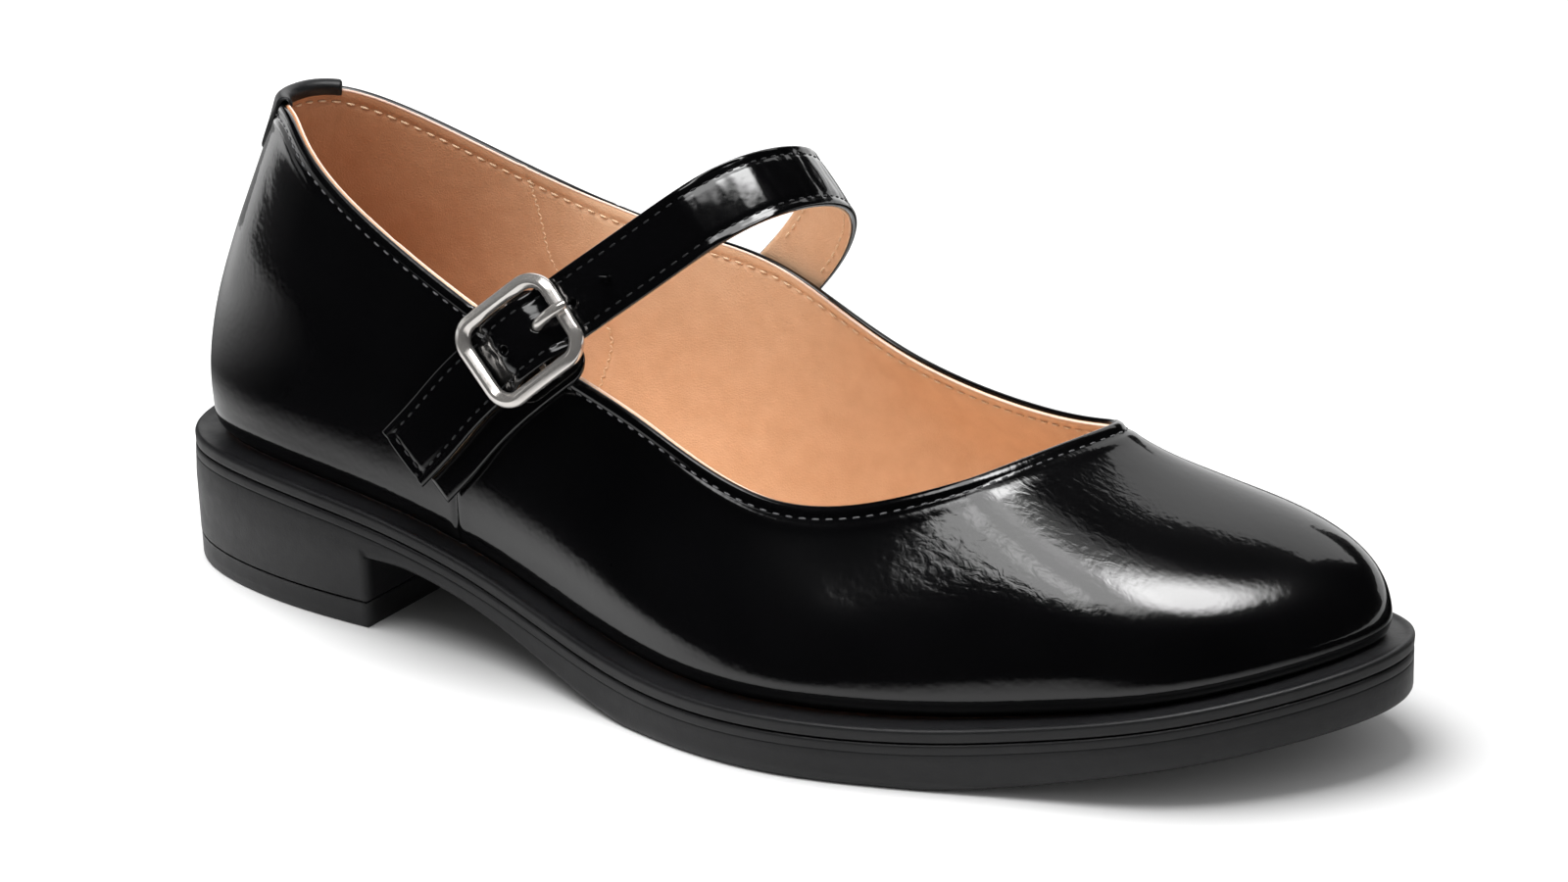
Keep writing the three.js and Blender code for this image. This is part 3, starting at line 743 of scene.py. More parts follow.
def build_lining():
    made = Surfaces()
    level = np.concatenate([np.linspace(0.04, 0.9, 45), np.linspace(0.9, 1, 14)[1:]])
    limit = v_below_top(UPPER_U, 0.30)[:, None]
    u = UPPER_U[:, None] + 0 * level
    v = level[None, :] * limit
    below = above_and_below(UPPER_U, v)[1]
    pull = (0.28 * np.exp(-(((below - LINING_SEAM_DOWN) / 0.6) ** 2))
            - 0.10 * np.exp(-(((below - 1.2) / 0.8) ** 2)))
    inside, normals, rise = lining_surface(u, v, 1.86 - pull)
    back, back_normals, _ = last_frame(u, v)
    back = back - back_normals * 1.3
    top_in, top_out = inside[:, -1], back[:, -1]
    over = [(top_in * (1 - part) + top_out * part
             + rise[:, -1] * 0.34 * math.sin(math.pi * part) ** 0.6)[:, None]
            for part in (0.12, 0.3, 0.5, 0.7, 0.88)]
    ring = np.concatenate([inside, *over, back[:, ::-4], back[:, :1]], 1)
    made.grid(ring, closed_rows=True, closed_columns=True, flip=True)
    # The pale cut edge of the lining shows as a thin line inside the fold.
    heart = (top_in * 0.78 + top_out * 0.22 + rise[:, -1] * 0.24)[:, None]
    angle = round_steps(8)[:, None]
    cut = Surfaces()
    cut.grid(heart + 0.24 * (normals[:, -1:] * np.cos(angle) + rise[:, -1:] * np.sin(angle)),
             closed_rows=True, closed_columns=True, flip=True)
    cut.piece("lining_edge", PALE_EDGE, "lining_leather")
    return made.piece("upper_lining", LINING_LEATHER, "lining_leather")


build_lining()


# ---- Stitches of the topline ------------------------------------------------------------------
# Grey thread outside and tan thread inside, lockstitched about 2.4 mm below the folded edge. Each
# stitch is a short plump length of thread whose ends dip into the leather.
def thread_material(name, light, dark, shine=0.5):
    made, shader, add, links = new_material(name)
    place = add("ShaderNodeTexCoord").outputs["Object"]
    twist = add("ShaderNodeTexWave", {"bands_direction": "DIAGONAL"}, Vector=place,
                Scale=1400.0, Distortion=1.5).outputs["Fac"]
    tone = colour_steps(add, twist, [(0.2, dark), (0.8, light)])
    links.new(tone, shader.inputs["Base Color"])
    bump = add("ShaderNodeBump", Height=twist, Strength=0.5, Distance=0.0001)
    links.new(bump.outputs["Normal"], shader.inputs["Normal"])
    set_sockets(shader, Roughness=0.34, Sheen_Weight=0.1, Specular_IOR_Level=shine)
    return made


GREY_THREAD = thread_material("grey_thread", (0.15, 0.15, 0.158), (0.035, 0.035, 0.037))
BLACK_THREAD = thread_material("black_thread", (0.022, 0.022, 0.024), (0.004, 0.004, 0.005), 0.25)
TAN_THREAD = thread_material("tan_thread", (0.95, 0.74, 0.52), (0.62, 0.38, 0.20))


def stitch_places(path, normals, pitch, closed=False):
    """Centres, directions and normals at even steps along a line of points."""
    if closed:
        path, normals = np.concatenate([path, path[:1]]), np.concatenate([normals, normals[:1]])
    run = run_along(path)
    count = max(1, round(run[-1] / pitch))
    at = (np.arange(count) + 0.5) * run[-1] / count

    def pick(rows, where):
        return np.stack([np.interp(where, run, rows[:, k]) for k in range(3)], -1)

    forward = unit(pick(path, at + 0.4) - pick(path, at - 0.4))
    return pick(path, at), forward, unit(pick(normals, at))


def sew(name, lines, material, slot, size):
    """One mesh of separate stitches. size is (length, width, height) in millimetres."""
    length, width, height = size
    made = Surfaces()
    rings, sides = 7, 8
    t = np.linspace(-1, 1, rings)
    angle = round_steps(sides)
    fat = np.maximum((1 - t**2), 0) ** 0.42
    for path, normals, pitch, closed in lines:
        centres, forward, up = stitch_places(path, normals, pitch, closed)
        side = unit(np.cross(forward, up))
        up = np.cross(side, forward)
        for c, f, s, n in zip(centres, forward, side, up):
            line = c + f * (t * length / 2)[:, None] + n * (0.10 - 0.22 * t**4)[:, None]
            ring = (line[:, None] + s * (fat[:, None] * np.cos(angle) * width / 2)[..., None]
                    + n * (fat[:, None] * np.sin(angle) * height / 2)[..., None])
            made.grid(ring, closed_columns=True)
    return made.piece(name, material, slot, seam=1e-3)


def topline_path(distance, lining):
    u = np.linspace(0, 1, 900, endpoint=False)
    v = v_below_top(u, distance)[:, None]
    if lining:
        points, normals, _ = lining_surface(u[:, None], v, 1.80 + 0 * v)
        return points[:, 0], -normals[:, 0]
    points, normals, _ = leather_surface(u[:, None], v)
    return points[:, 0], normals[:, 0]


STITCH_PITCH, LINING_STITCH_PITCH = 2.6, 2.75
sew("topline_stitches", [(*topline_path(TOPLINE_SEAM_DOWN, False), STITCH_PITCH, True)],
    GREY_THREAD, "patent_leather", (1.65, 0.36, 0.32))
sew("lining_stitches", [(*topline_path(LINING_SEAM_DOWN, True), LINING_STITCH_PITCH, True)],
    TAN_THREAD, "lining_leather", (1.9, 0.46, 0.40))


def zigzag_lines(step=1.9, reach=0.75):
    """Straight legs of thread to and fro across each lining seam."""
    lines = []
    for seam in LINING_SEAMS:
        u, v = seam_line(seam, 400)
        points, normals, _ = lining_surface(u[:, None], v[:, None], 1.80 + 0 * v[:, None])
        points, normals = points[:, 0], -normals[:, 0]
        run = run_along(points)
        at = np.arange(3.2, run[-1] - 1, step / 2)
        spot = np.stack([np.interp(at, run, points[:, k]) for k in range(3)], -1)
        face = unit(np.stack([np.interp(at, run, normals[:, k]) for k in range(3)], -1))
        side = unit(np.cross(np.gradient(spot, axis=0), face))
        zig = spot + side * (reach * np.where(np.arange(len(at)) % 2, 0.5, -0.5))[:, None]
        lines += [(np.linspace(zig[k], zig[k + 1], 4), np.repeat(face[k : k + 1], 4, 0), 9.0, False)
                  for k in range(len(zig) - 1)]
    return lines


sew("lining_seam_stitches", zigzag_lines(), TAN_THREAD, "lining_leather", (1.35, 0.42, 0.36))


# ---- Heel tab ---------------------------------------------------------------------------------
# A strip of black satin leather folded over the topline at the back, over the back seam, and
# cemented down on both sides. It runs between two places round the shoe, and narrows downwards.
TAB_FROM, TAB_TO, TAB_BOTTOM, TAB_TAPER = -0.057, 0.036, 0.822, 0.5


def satin_material():
    made, shader, add, links = new_material("black_satin_leather")
    place = add("ShaderNodeTexCoord").outputs["Object"]
    cloud = add("ShaderNodeTexNoise", Vector=place, Scale=60.0, Detail=3.0).outputs["Fac"]
    grain = add("ShaderNodeTexVoronoi", {"feature": "SMOOTH_F1"}, Vector=place,
                Scale=1800.0).outputs["Distance"]
    tone = colour_steps(add, cloud, [(0.3, (0.006, 0.0063, 0.007)), (0.7, (0.011, 0.0113, 0.012))])
    links.new(tone, shader.inputs["Base Color"])
    rough = add("ShaderNodeMapRange", Value=cloud, To_Min=0.34, To_Max=0.48)
    links.new(rough.outputs["Result"], shader.inputs["Roughness"])
    bump = add("ShaderNodeBump", Height=grain, Strength=0.18, Distance=0.00015)
    links.new(bump.outputs["Normal"], shader.inputs["Normal"])
    set_sockets(shader, Specular_IOR_Level=0.3)
    return made


SATIN_BLACK = satin_material()


def build_heel_tab():
    """Cross-sections run up the outside, over the topline and a little way down the inside."""
    made = Surfaces()
    u = np.linspace(TAB_FROM, TAB_TO, 73)
    middle = (TAB_FROM + TAB_TO) / 2
    side = np.minimum(u - TAB_FROM, TAB_TO - u) * UPPER_GIRTH
    thick = 0.16 + 0.34 * np.sqrt(np.clip(1 - (1 - np.clip(side / 0.8, 0, 1)) ** 2, 0, 1))
    half_wall = 1.06

    def at(v, out, up=0.0):
        """Points at a height on the last, with the tab narrower lower down on the outside."""
        squeeze = 1 - TAB_TAPER * max(0.0, (0.98 - v) / (0.98 - TAB_BOTTOM)) * (np.mean(out) > -1)
        points, normals, rise = last_frame(middle + (u - middle) * squeeze, v + 0 * u)
        return points + normals * (out + 0 * u)[..., None] + rise * (up + 0 * u)[..., None]

    rows = []
    # Up the outside, where the lower end is rounded off.
    for v in np.concatenate([[TAB_BOTTOM, TAB_BOTTOM + 0.002, TAB_BOTTOM + 0.006],
                             np.linspace(TAB_BOTTOM + 0.014, 0.99, 18)]):
        near_end = math.sqrt(min(1, max(0, (v - TAB_BOTTOM) / 0.012)))
        rows.append(at(v, 0.06 + thick * (0.35 + 0.65 * near_end)))
    for turn in np.radians(range(0, 181, 15)):
        reach = half_wall + thick
        rows.append(at(1.0, -half_wall + 0.06 + reach * math.cos(turn), reach * math.sin(turn)))
    outer = len(rows)
    rows.append(at(0.985, -2 * half_wall - thick))
    rows.append(at(0.98, -2 * half_wall - thick * 0.5))
    rows.append(at(0.98, -2 * half_wall + 0.04))
    for turn in np.radians(range(180, -1, -30)):
        rows.append(at(1.0, -half_wall + 0.02 + half_wall * math.cos(turn), half_wall * math.sin(turn)))
    for v in np.linspace(0.98, TAB_BOTTOM, 8):
        rows.append(at(v, 0.03))
    ring = np.stack(rows, 1)
    made.grid(ring, closed_columns=True)
    # The two side ends are closed from the outside's rows across to the inside's rows.
    for end, flip in ((0, True), (-1, False)):
        loop = ring[end]
        back = loop[outer:][::-1]
        where = np.linspace(0, len(back) - 1, outer)
        low = np.floor(where).astype(int)
        high = np.minimum(low + 1, len(back) - 1)
        part = (where - low)[:, None]
        inner = back[low] * (1 - part) + back[high] * part
        made.grid(np.stack([loop[:outer], inner], 0), flip=flip)
    return made.piece("folded_heel_tab", SATIN_BLACK, "patent_leather", ["heel_tab"])


build_heel_tab()


# ---- Strap ------------------------------------------------------------------------------------
# A band of folded patent leather over a tan lining, stitched along both edges. It comes from the
# inner quarter over the instep, through the buckle, and its tail lies on the outer quarter.
# Points under the middle of the strap from its tail on: x, y and z in millimetres, and how its
# width turns and dips in degrees.
STRAP_ROUTE = np.array([
    (-60.5, -28.5, 36, -8, 41), (-53, -28.5, 44.5, -9, 41), (-44.5, -27.5, 54.5, -10, 42),
    (-29, -25.5, 68.5, -12, 43), (-13.5, -20.5, 81.5, -14, 45), (-1.5, -12, 91.5, -15, 45),
    (3.5, 3, 92.5, -14, 43), (1.5, 19.5, 85.5, -10, 43), (-8, 28.7, 70.5, 0.5, 36.5),
    (-22.4, 30.6, 54.2, 4, 38),
], float)
STRAP_WIDTH, STRAP_THICK = 13.2, 1.8
BUCKLE_MIDDLE = 38.0
ROUTE_CONTROLS = spline_controls(STRAP_ROUTE, False)
ROUTE_PLACES = np.linspace(0, len(STRAP_ROUTE) - 1, 241)
ROUTE_POINTS = on_spline(ROUTE_CONTROLS, ROUTE_PLACES, False)[:, :3]
ROUTE_RUN = run_along(ROUTE_POINTS)
STRAP_LENGTH = ROUTE_RUN[-1]


def strap_point(length, sideways, height):
    """A point by its length from the tail, its distance towards the toe and its height."""
    length, sideways, height = np.broadcast_arrays(*[np.asarray(value, float) for value in
                                                     (length, sideways, height)])
    place = np.interp(length, ROUTE_RUN, ROUTE_PLACES)
    row = on_spline(ROUTE_CONTROLS, place, False)
    turn, dip = np.radians(row[..., 3]), np.radians(row[..., 4])
    over = xyz(np.cos(dip) * np.cos(turn), np.cos(dip) * np.sin(turn), -np.sin(dip))
    end = len(STRAP_ROUTE) - 1
    along = (on_spline(ROUTE_CONTROLS, np.minimum(place + 0.01, end), False)
             - on_spline(ROUTE_CONTROLS, np.maximum(place - 0.01, 0), False))[..., :3]
    outward = unit(np.cross(over, along))
    return row[..., :3] + over * sideways[..., None] + outward * height[..., None]


def strap_hump(length):
    """How far the strap rises where it passes over the buckle's centre bar."""
    return 2.5 * np.exp(-(np.abs((length - BUCKLE_MIDDLE) / 6.4) ** 4))


# Crinkles across the band: length from the tail, width and depth. A negative depth is a ridge.
CRINKLES = ((84, 0.9, 0.07), (89, 1.2, -0.06), (94, 0.8, 0.09), (97.5, 0.7, -0.06),
            (101, 1.0, 0.10), (105, 0.8, 0.08), (108, 0.9, -0.07), (112, 1.1, 0.08),
            (118, 1.4, -0.05), (126, 1.6, 0.06), (53, 1.5, 0.08), (22, 1.5, 0.05))
HOLE_LENGTHS = [BUCKLE_MIDDLE + at for at in (-2.8, 5.2, 13, 21)]
HOLE_RADII = (0.8, 1.05, 0.8, 0.8)
# Short folds pressed in beside the bars: from and to as (length, sideways), width and depth.
STRAP_FOLDS = (
    ((30.2, -5.6), (34.0, -2.6), 0.9, 0.34), ((30.4, 5.6), (34.6, 3.4), 0.9, 0.30),
    ((46.4, -5.6), (43.0, -3.4), 0.8, 0.28), ((46.6, 5.4), (42.6, 3.2), 0.9, 0.34),
    ((31.2, -1.0), (33.4, 1.2), 0.8, 0.16), ((36.5, 4.9), (42.0, 5.3), 0.7, 0.22),
    ((51.6, -6.0), (52.4, 0.5), 0.7, 0.24), ((52.4, 6.0), (51.6, 1.8), 0.7, 0.26),
    ((54.6, -6.0), (55.4, -2.0), 0.8, -0.14), ((55.0, 5.6), (57.5, 3.2), 0.8, 0.14),
    ((24.4, -4.6), (21.0, -2.2), 0.9, 0.14), ((18.0, 1.0), (14.0, 2.6), 1.0, 0.12),
    ((20.5, 3.4), (15.0, 4.2), 0.8, -0.10), ((9.0, -3.0), (5.5, -1.6), 1.0, 0.09),
)


def strap_relief(length, sideways):
    """Grooves under the stitches, a faint crown, and fine crinkles where the strap bends."""
    half = STRAP_WIDTH / 2
    edge = half - np.abs(sideways)
    relief = 0.10 * np.sin(np.pi * np.clip(edge - 2.2, 0, half - 2.2) / (2 * (half - 2.2)))
    relief = relief - 0.20 * np.exp(-(((edge - 1.9) / 0.5) ** 2))
    relief = relief - 0.20 * np.exp(-(((length - 2.2) / 0.5) ** 2)) * (edge > 1.9)
    relief = relief - 0.20 * np.exp(-(((length - STRAP_LENGTH + 2.2) / 0.5) ** 2)) * (edge > 1.9)
    for hole, radius in zip(HOLE_LENGTHS, HOLE_RADII):
        away = np.hypot(length - hole, sideways)
        relief = relief + 0.20 * np.exp(-(((away - radius - 0.42) / 0.30) ** 2))
    for (a0, b0), (a1, b1), wide, depth in STRAP_FOLDS:
        da, db = a1 - a0, b1 - b0
        part = np.clip(((length - a0) * da + (sideways - b0) * db) / (da * da + db * db), 0, 1)
        away = np.hypot(length - a0 - part * da, sideways - b0 - part * db)
        relief = relief - depth * (1 - part) ** 0.6 * np.exp(-((away / wide) ** 2))
    # Over the instep the band has taken a flat, turned a little, with small ripples across it.
    flat = np.abs(length - 85.0) / 6.0
    relief = relief + np.where(flat < 1, 0.30 * flat**2 - 0.19,
                               0.11 * np.exp(-(((flat - 1) / 0.4) ** 2)))
    relief = relief - 0.05 * (length - 84.0) * np.exp(-(((length - 84.0) / 7.5) ** 4))
    ripple = np.sin(2 * np.pi * (length - 79.0) / 3.9 + 0.5 * np.sin(sideways * 0.6))
    relief = relief + 0.06 * ripple * np.exp(-(((length - 84.0) / 5.5) ** 4)) * np.clip(edge / 2, 0, 1)
    for place, wide, depth in CRINKLES:
        bend = place + 0.35 * np.sin(sideways * 0.7 + place)
        relief = relief - depth * np.exp(-(((length - bend) / wide) ** 2)) * np.clip(edge / 2, 0, 1)
    return relief


def strap_band(lengths, width, low, high, shift=0.0, relief=None, round_edge=0.45, columns=30):
    """A closed band with rounded edges. low and high are heights over the strap's underside."""
    half = width / 2
    inner = np.linspace(-1, 1, columns) * (half - round_edge)
    grid_length = lengths[:, None]
    top = high(grid_length) + (relief(grid_length, inner) if relief else 0 * inner)
    rows = [strap_point(grid_length, shift + inner, top)]
    low_z, high_z = low(grid_length), high(grid_length)
    middle = (low_z + high_z) / 2
    depth = (high_z - low_z) / 2
    for angle in (60, 30, 0, -30, -60):
        turn = math.radians(angle)
        rows.append(strap_point(grid_length, shift + half - round_edge * (1 - math.cos(turn)),
                                middle + depth * math.sin(turn)))
    under = inner[..., ::-2]
    rows.append(strap_point(grid_length, shift + under, low_z + 0 * under))
    for angle in (-120, -150, 180, 150, 120):
        turn = math.radians(angle)
        rows.append(strap_point(grid_length, shift - half + round_edge * (1 + math.cos(turn)),
                                middle + depth * math.sin(turn)))
    return np.concatenate(rows, 1)


def cap_ends(made, ring):
    """Closes a band's two ends with strips across its loops."""
    for end, flip in ((0, False), (-1, True)):
        loop = ring[end]
        middle = loop.mean(0)
        made.grid(np.stack([loop, np.broadcast_to(middle, loop.shape)], 0), closed_columns=True,
                  flip=flip)


def end_rounding(lengths, start, finish, radius):
    """1 along the band, and less within radius of its two ends."""
    near = np.minimum(lengths - start, finish - lengths)
    return np.sqrt(np.clip(1 - (1 - np.clip(near / radius, 0, 1)) ** 2, 0.02, 1))


STRAP_LENGTHS = np.concatenate([np.linspace(0, 0.8, 7)[:-1],
                                np.linspace(0.8, STRAP_LENGTH - 0.8, 420),
                                np.linspace(STRAP_LENGTH - 0.8, STRAP_LENGTH, 7)[1:]])


def build_strap():
    made = Surfaces()

    def half_thick(length):
        return 0.65 * end_rounding(length, 0, STRAP_LENGTH, 0.6)

    ring = strap_band(
        STRAP_LENGTHS, STRAP_WIDTH, lambda at: strap_hump(at) + 1.15 - half_thick(at),
        lambda at: strap_hump(at) + 1.15 + half_thick(at), relief=strap_relief)
    made.grid(ring, closed_columns=True)
    cap_ends(made, ring)
    return made.piece("patent_strap", PATENT, "patent_leather", ["strap"])


STRAP = build_strap()


def build_strap_lining():
    made = Surfaces()
    ring = strap_band(
        STRAP_LENGTHS[6:-6], STRAP_WIDTH - 0.5, lambda at: strap_hump(at) + 0 * at,
        lambda at: strap_hump(at) + 0.5 + 0 * at, round_edge=0.25, columns=20)
    made.grid(ring, closed_columns=True)
    cap_ends(made, ring)
    return made.piece("strap_lining", LINING_LEATHER, "lining_leather")


STRAP_LINING = build_strap_lining()


def punch(piece, lengths, radii, more=0.0):
    """Round holes cut square through a band."""
    for length, radius in zip(lengths, radii):
        made = bmesh.new()
        bmesh.ops.create_cone(made, cap_ends=True, segments=28, radius1=(radius + more) * MM,
                              radius2=(radius + more) * MM, depth=0.012)
        mesh = bpy.data.meshes.new("punch")
        made.to_mesh(mesh)
        made.free()
        tool = bpy.data.objects.new("punch", mesh)
        bpy.context.collection.objects.link(tool)
        base, tip = strap_point(length, 0.0, 0.0), strap_point(length, 0.0, 1.0)
        axis = mathutils.Vector((tip - base).tolist())
        tool.rotation_mode = "QUATERNION"
        tool.rotation_quaternion = axis.to_track_quat("Z", "Y")
        tool.location = mathutils.Vector((base * MM).tolist())
        cutter = piece.modifiers.new("hole", "BOOLEAN")
        cutter.object, cutter.operation, cutter.solver = tool, "DIFFERENCE", "EXACT"
        bpy.context.view_layer.update()
        result = bpy.data.meshes.new_from_object(
            piece.evaluated_get(bpy.context.evaluated_depsgraph_get()))
        piece.modifiers.remove(cutter)
        piece.data = result
        bpy.data.objects.remove(tool)


punch(STRAP, HOLE_LENGTHS, HOLE_RADII)
punch(STRAP_LINING, HOLE_LENGTHS, HOLE_RADII, 0.02)


def build_hole_edges():
    """Black edge paint in each hole: a thin sleeve, closed halfway down by a thin web of painted shade.
    """
    made = Surfaces()
    angle = round_steps(28)
    for length, radius in zip(HOLE_LENGTHS, HOLE_RADII):
        # The points near the axis make the web, which stands as painted shade for the dark depth of the
        # hole.
        profile = ((radius + 0.03, 1.74), (radius - 0.02, 1.80), (radius - 0.09, 1.74),
                   (radius - 0.12, 1.00), (0.02, 0.95), (0.02, 0.80), (radius - 0.12, 0.75),
                   (radius - 0.09, 0.06), (radius + 0.03, 0.06))
        rows = [strap_point(length + away * np.cos(angle), away * np.sin(angle),
                            strap_hump(length) + height) for away, height in profile]
        made.grid(np.stack(rows, 1), closed_rows=True, closed_columns=True, flip=True)
    return made.piece("hole_edges_and_shade", PATENT, "patent_leather")


build_hole_edges()


def strap_seam(sideways, height, start=1.6, finish=None, under=False):
    finish = STRAP_LENGTH - 1.6 if finish is None else finish
    lengths = np.linspace(start, finish, 400)
    rise = strap_hump(lengths) + (height if under else height + strap_relief(lengths, sideways))
    points = strap_point(lengths, sideways, rise)
    above = strap_point(lengths, sideways, rise + 1)
    return points, (points - above) if under else (above - points)


EDGE_SEAM = STRAP_WIDTH / 2 - 1.9
STRAP_SEAMS = [(*strap_seam(side * EDGE_SEAM, STRAP_THICK - 0.02), 2.6, False) for side in (-1, 1)]
for end_length in (2.2, STRAP_LENGTH - 2.2):
    sideways = np.linspace(-EDGE_SEAM + 0.6, EDGE_SEAM - 0.6, 30)
    base = strap_point(end_length, sideways, STRAP_THICK - 0.02)
    STRAP_SEAMS.append((base, strap_point(end_length, sideways, STRAP_THICK + 1) - base, 2.4, False))
sew("strap_stitches", STRAP_SEAMS, BLACK_THREAD, "patent_leather", (1.6, 0.34, 0.28))
sew("strap_lining_stitches",
    [(*strap_seam(side * EDGE_SEAM, 0.0, 60, STRAP_LENGTH - 18, True), 2.6, False)
     for side in (-1, 1)], TAN_THREAD, "lining_leather", (1.9, 0.44, 0.34))


# ---- Chape ------------------------------------------------------------------------------------
# The short band under the strap that holds the buckle's centre bar and is sewn to the quarter. It
# shows as a narrow stripe in front of the tail.
CHAPE_SHIFT, CHAPE_END = 5.0, 46.0


def build_chape():
    made = Surfaces()
    lengths = np.concatenate([np.linspace(1, CHAPE_END - 5, 70),
                              CHAPE_END - 5 + 5 * np.sin(np.linspace(0.06, 1, 20) * np.pi / 2)])
    past = np.clip((lengths - (CHAPE_END - 5)) / 5, 0, 0.995)
    width = STRAP_WIDTH - 10 + 10 * np.sqrt(1 - past**2)
    wider = 6.6 * smooth_step((lengths - 27) / 4) * (1 - past**6) ** 0.5
    width, shift = (width + wider)[:, None], (CHAPE_SHIFT - wider / 2)[:, None]

    def half_thick(length):
        return 0.58 * end_rounding(length, 1, CHAPE_END, 0.5)

    ring = strap_band(lengths, width, lambda at: -0.9 - half_thick(at),
                      lambda at: -0.9 + half_thick(at), shift=shift, round_edge=0.4, columns=18)
    made.grid(ring, closed_columns=True)
    cap_ends(made, ring)
    return made.piece("buckle_chape", PATENT, "patent_leather", ["chape"])


build_chape()


# ---- Buckle -----------------------------------------------------------------------------------
# Cast zinc plated with bright nickel: a rounded rectangular frame with bevelled bars, a centre bar
# under the strap, and a round wire prong that comes up through a hole and lies on the end bar.
def nickel_material():
    made, shader, add, links = new_material("polished_nickel")
    place = add("ShaderNodeTexCoord").outputs["Object"]
    cloud = add("ShaderNodeTexNoise", Vector=place, Scale=160.0, Detail=3.0).outputs["Fac"]
    hair = add("ShaderNodeTexNoise", Vector=place, Scale=1500.0, Detail=5.0).outputs["Fac"]
    tone = colour_steps(add, cloud, [(0.3, (0.64, 0.61, 0.58)), (0.7, (0.74, 0.71, 0.68))])
    links.new(tone, shader.inputs["Base Color"])
    rough = add("ShaderNodeMapRange", Value=hair, To_Min=0.12, To_Max=0.22)
    links.new(rough.outputs["Result"], shader.inputs["Roughness"])
    bump = add("ShaderNodeBump", Height=cloud, Strength=0.06, Distance=0.0004)
    links.new(bump.outputs["Normal"], shader.inputs["Normal"])
    set_sockets(shader, Metallic=0.82)
    return made


NICKEL = nickel_material()
BUCKLE_LONG, BUCKLE_WIDE, BUCKLE_CORNER = 24.2, 19.8, 5.6
BAR_WIDE, BAR_HIGH = 2.85, 2.3
# The bar's section: out from its middle in widths of the bar, and up in heights of it.
BAR_SECTION = (
    (-0.50, 0.25), (-0.46, 0.10), (-0.34, 0.02), (0.0, 0.0), (0.34, 0.02), (0.46, 0.10),
    (0.50, 0.25), (0.50, 0.52), (0.475, 0.64), (0.42, 0.73), (0.34, 0.80), (0.12, 0.95),
    (0.05, 0.985), (-0.03, 1.0), (-0.11, 0.975), (-0.17, 0.92), (-0.38, 0.66), (-0.45, 0.56),
    (-0.49, 0.44),
)


def ring_centreline(steps=16, straight=14):
    """Middle of the bar round the frame, with the direction out of it."""
    half_long, half_wide = (BUCKLE_LONG - BAR_WIDE) / 2, (BUCKLE_WIDE - BAR_WIDE) / 2
    bend = BUCKLE_CORNER - BAR_WIDE / 2
    places, outs = [], []
    corners = ((1, 1), (-1, 1), (-1, -1), (1, -1))
    for quarter, (sx, sy) in enumerate(corners):
        cx, cy = sx * (half_long - bend), sy * (half_wide - bend)
        for angle in np.radians(np.linspace(quarter * 90, quarter * 90 + 90, steps)):
            out = np.array([math.cos(angle), math.sin(angle)])
            places.append(np.array([cx, cy]) + out * bend)
            outs.append(out)
        nx, ny = corners[(quarter + 1) % 4]
        turn = math.radians(quarter * 90 + 90)
        out = np.array([math.cos(turn), math.sin(turn)])
        start = places[-1]
        finish = np.array([nx * (half_long - bend), ny * (half_wide - bend)]) + out * bend
        for part in np.linspace(0, 1, straight)[1:-1]:
            places.append(start * (1 - part) + finish * part)
            outs.append(out)
    return np.array(places), np.array(outs)


def tube(made, path, radii, sides=14):
    """A round rod along (length, sideways, height) points, closed at both ends."""
    points = strap_point(*np.array(path, float).T)
    forward = unit(np.gradient(points, axis=0))
    side = strap_point(BUCKLE_MIDDLE, 1.0, 0.0) - strap_point(BUCKLE_MIDDLE, 0.0, 0.0)
    if np.abs(forward @ side).max() > 0.9:
        side = strap_point(BUCKLE_MIDDLE, 0.0, 1.0) - strap_point(BUCKLE_MIDDLE, 0.0, 0.0)
    up = unit(np.cross(forward, side))
    side = np.cross(up, forward)
    angle = round_steps(sides)
    radii = np.asarray(radii, float)[:, None, None]
    ring = points[:, None] + radii * (side[:, None] * np.cos(angle)[:, None]
                                      + up[:, None] * np.sin(angle)[:, None])
    made.grid(ring, closed_columns=True, flip=True)
    for end, flip in ((0, True), (-1, False)):
        made.grid(np.stack([ring[end], np.broadcast_to(points[end], ring[end].shape)], 0),
                  closed_columns=True, flip=flip)


def build_buckle():
    made = Surfaces()
    places, outs = ring_centreline()
    low = STRAP_THICK + GAP
    loops = [strap_point(BUCKLE_MIDDLE + places[:, 0] + outs[:, 0] * out * BAR_WIDE,
                         places[:, 1] + outs[:, 1] * out * BAR_WIDE, low + high * BAR_HIGH)
             for out, high in BAR_SECTION]
    made.grid(np.stack(loops, 1), closed_rows=True, closed_columns=True, flip=True)
    reach, bar_height, ring_height = 8.2, 0.8, STRAP_THICK + GAP + BAR_HIGH / 2
    drop = [(BUCKLE_MIDDLE, -reach, ring_height - 0.4 * k) for k in range(4)]
    run = [(BUCKLE_MIDDLE, at, bar_height) for at in np.linspace(-reach + 0.7, reach - 0.7, 12)]
    rise = [(BUCKLE_MIDDLE, reach, ring_height - 0.4 * k) for k in range(3, -1, -1)]
    path = drop + run + rise
    tube(made, path, [0.8] * len(path))
    return made.piece("nickel_buckle_frame", NICKEL, "nickel", ["buckle_frame"])


build_buckle()

# The prong's middle line: length from the centre bar, and height over the strap's underside.
PRONG_PATH = ((2.4, 0.9), (3.6, 1.3), (4.8, 2.8), (6.1, 4.3), (7.8, 5.15), (9.4, 5.6), (11, 5.65),
              (12.3, 5.2), (12.9, 4.6))


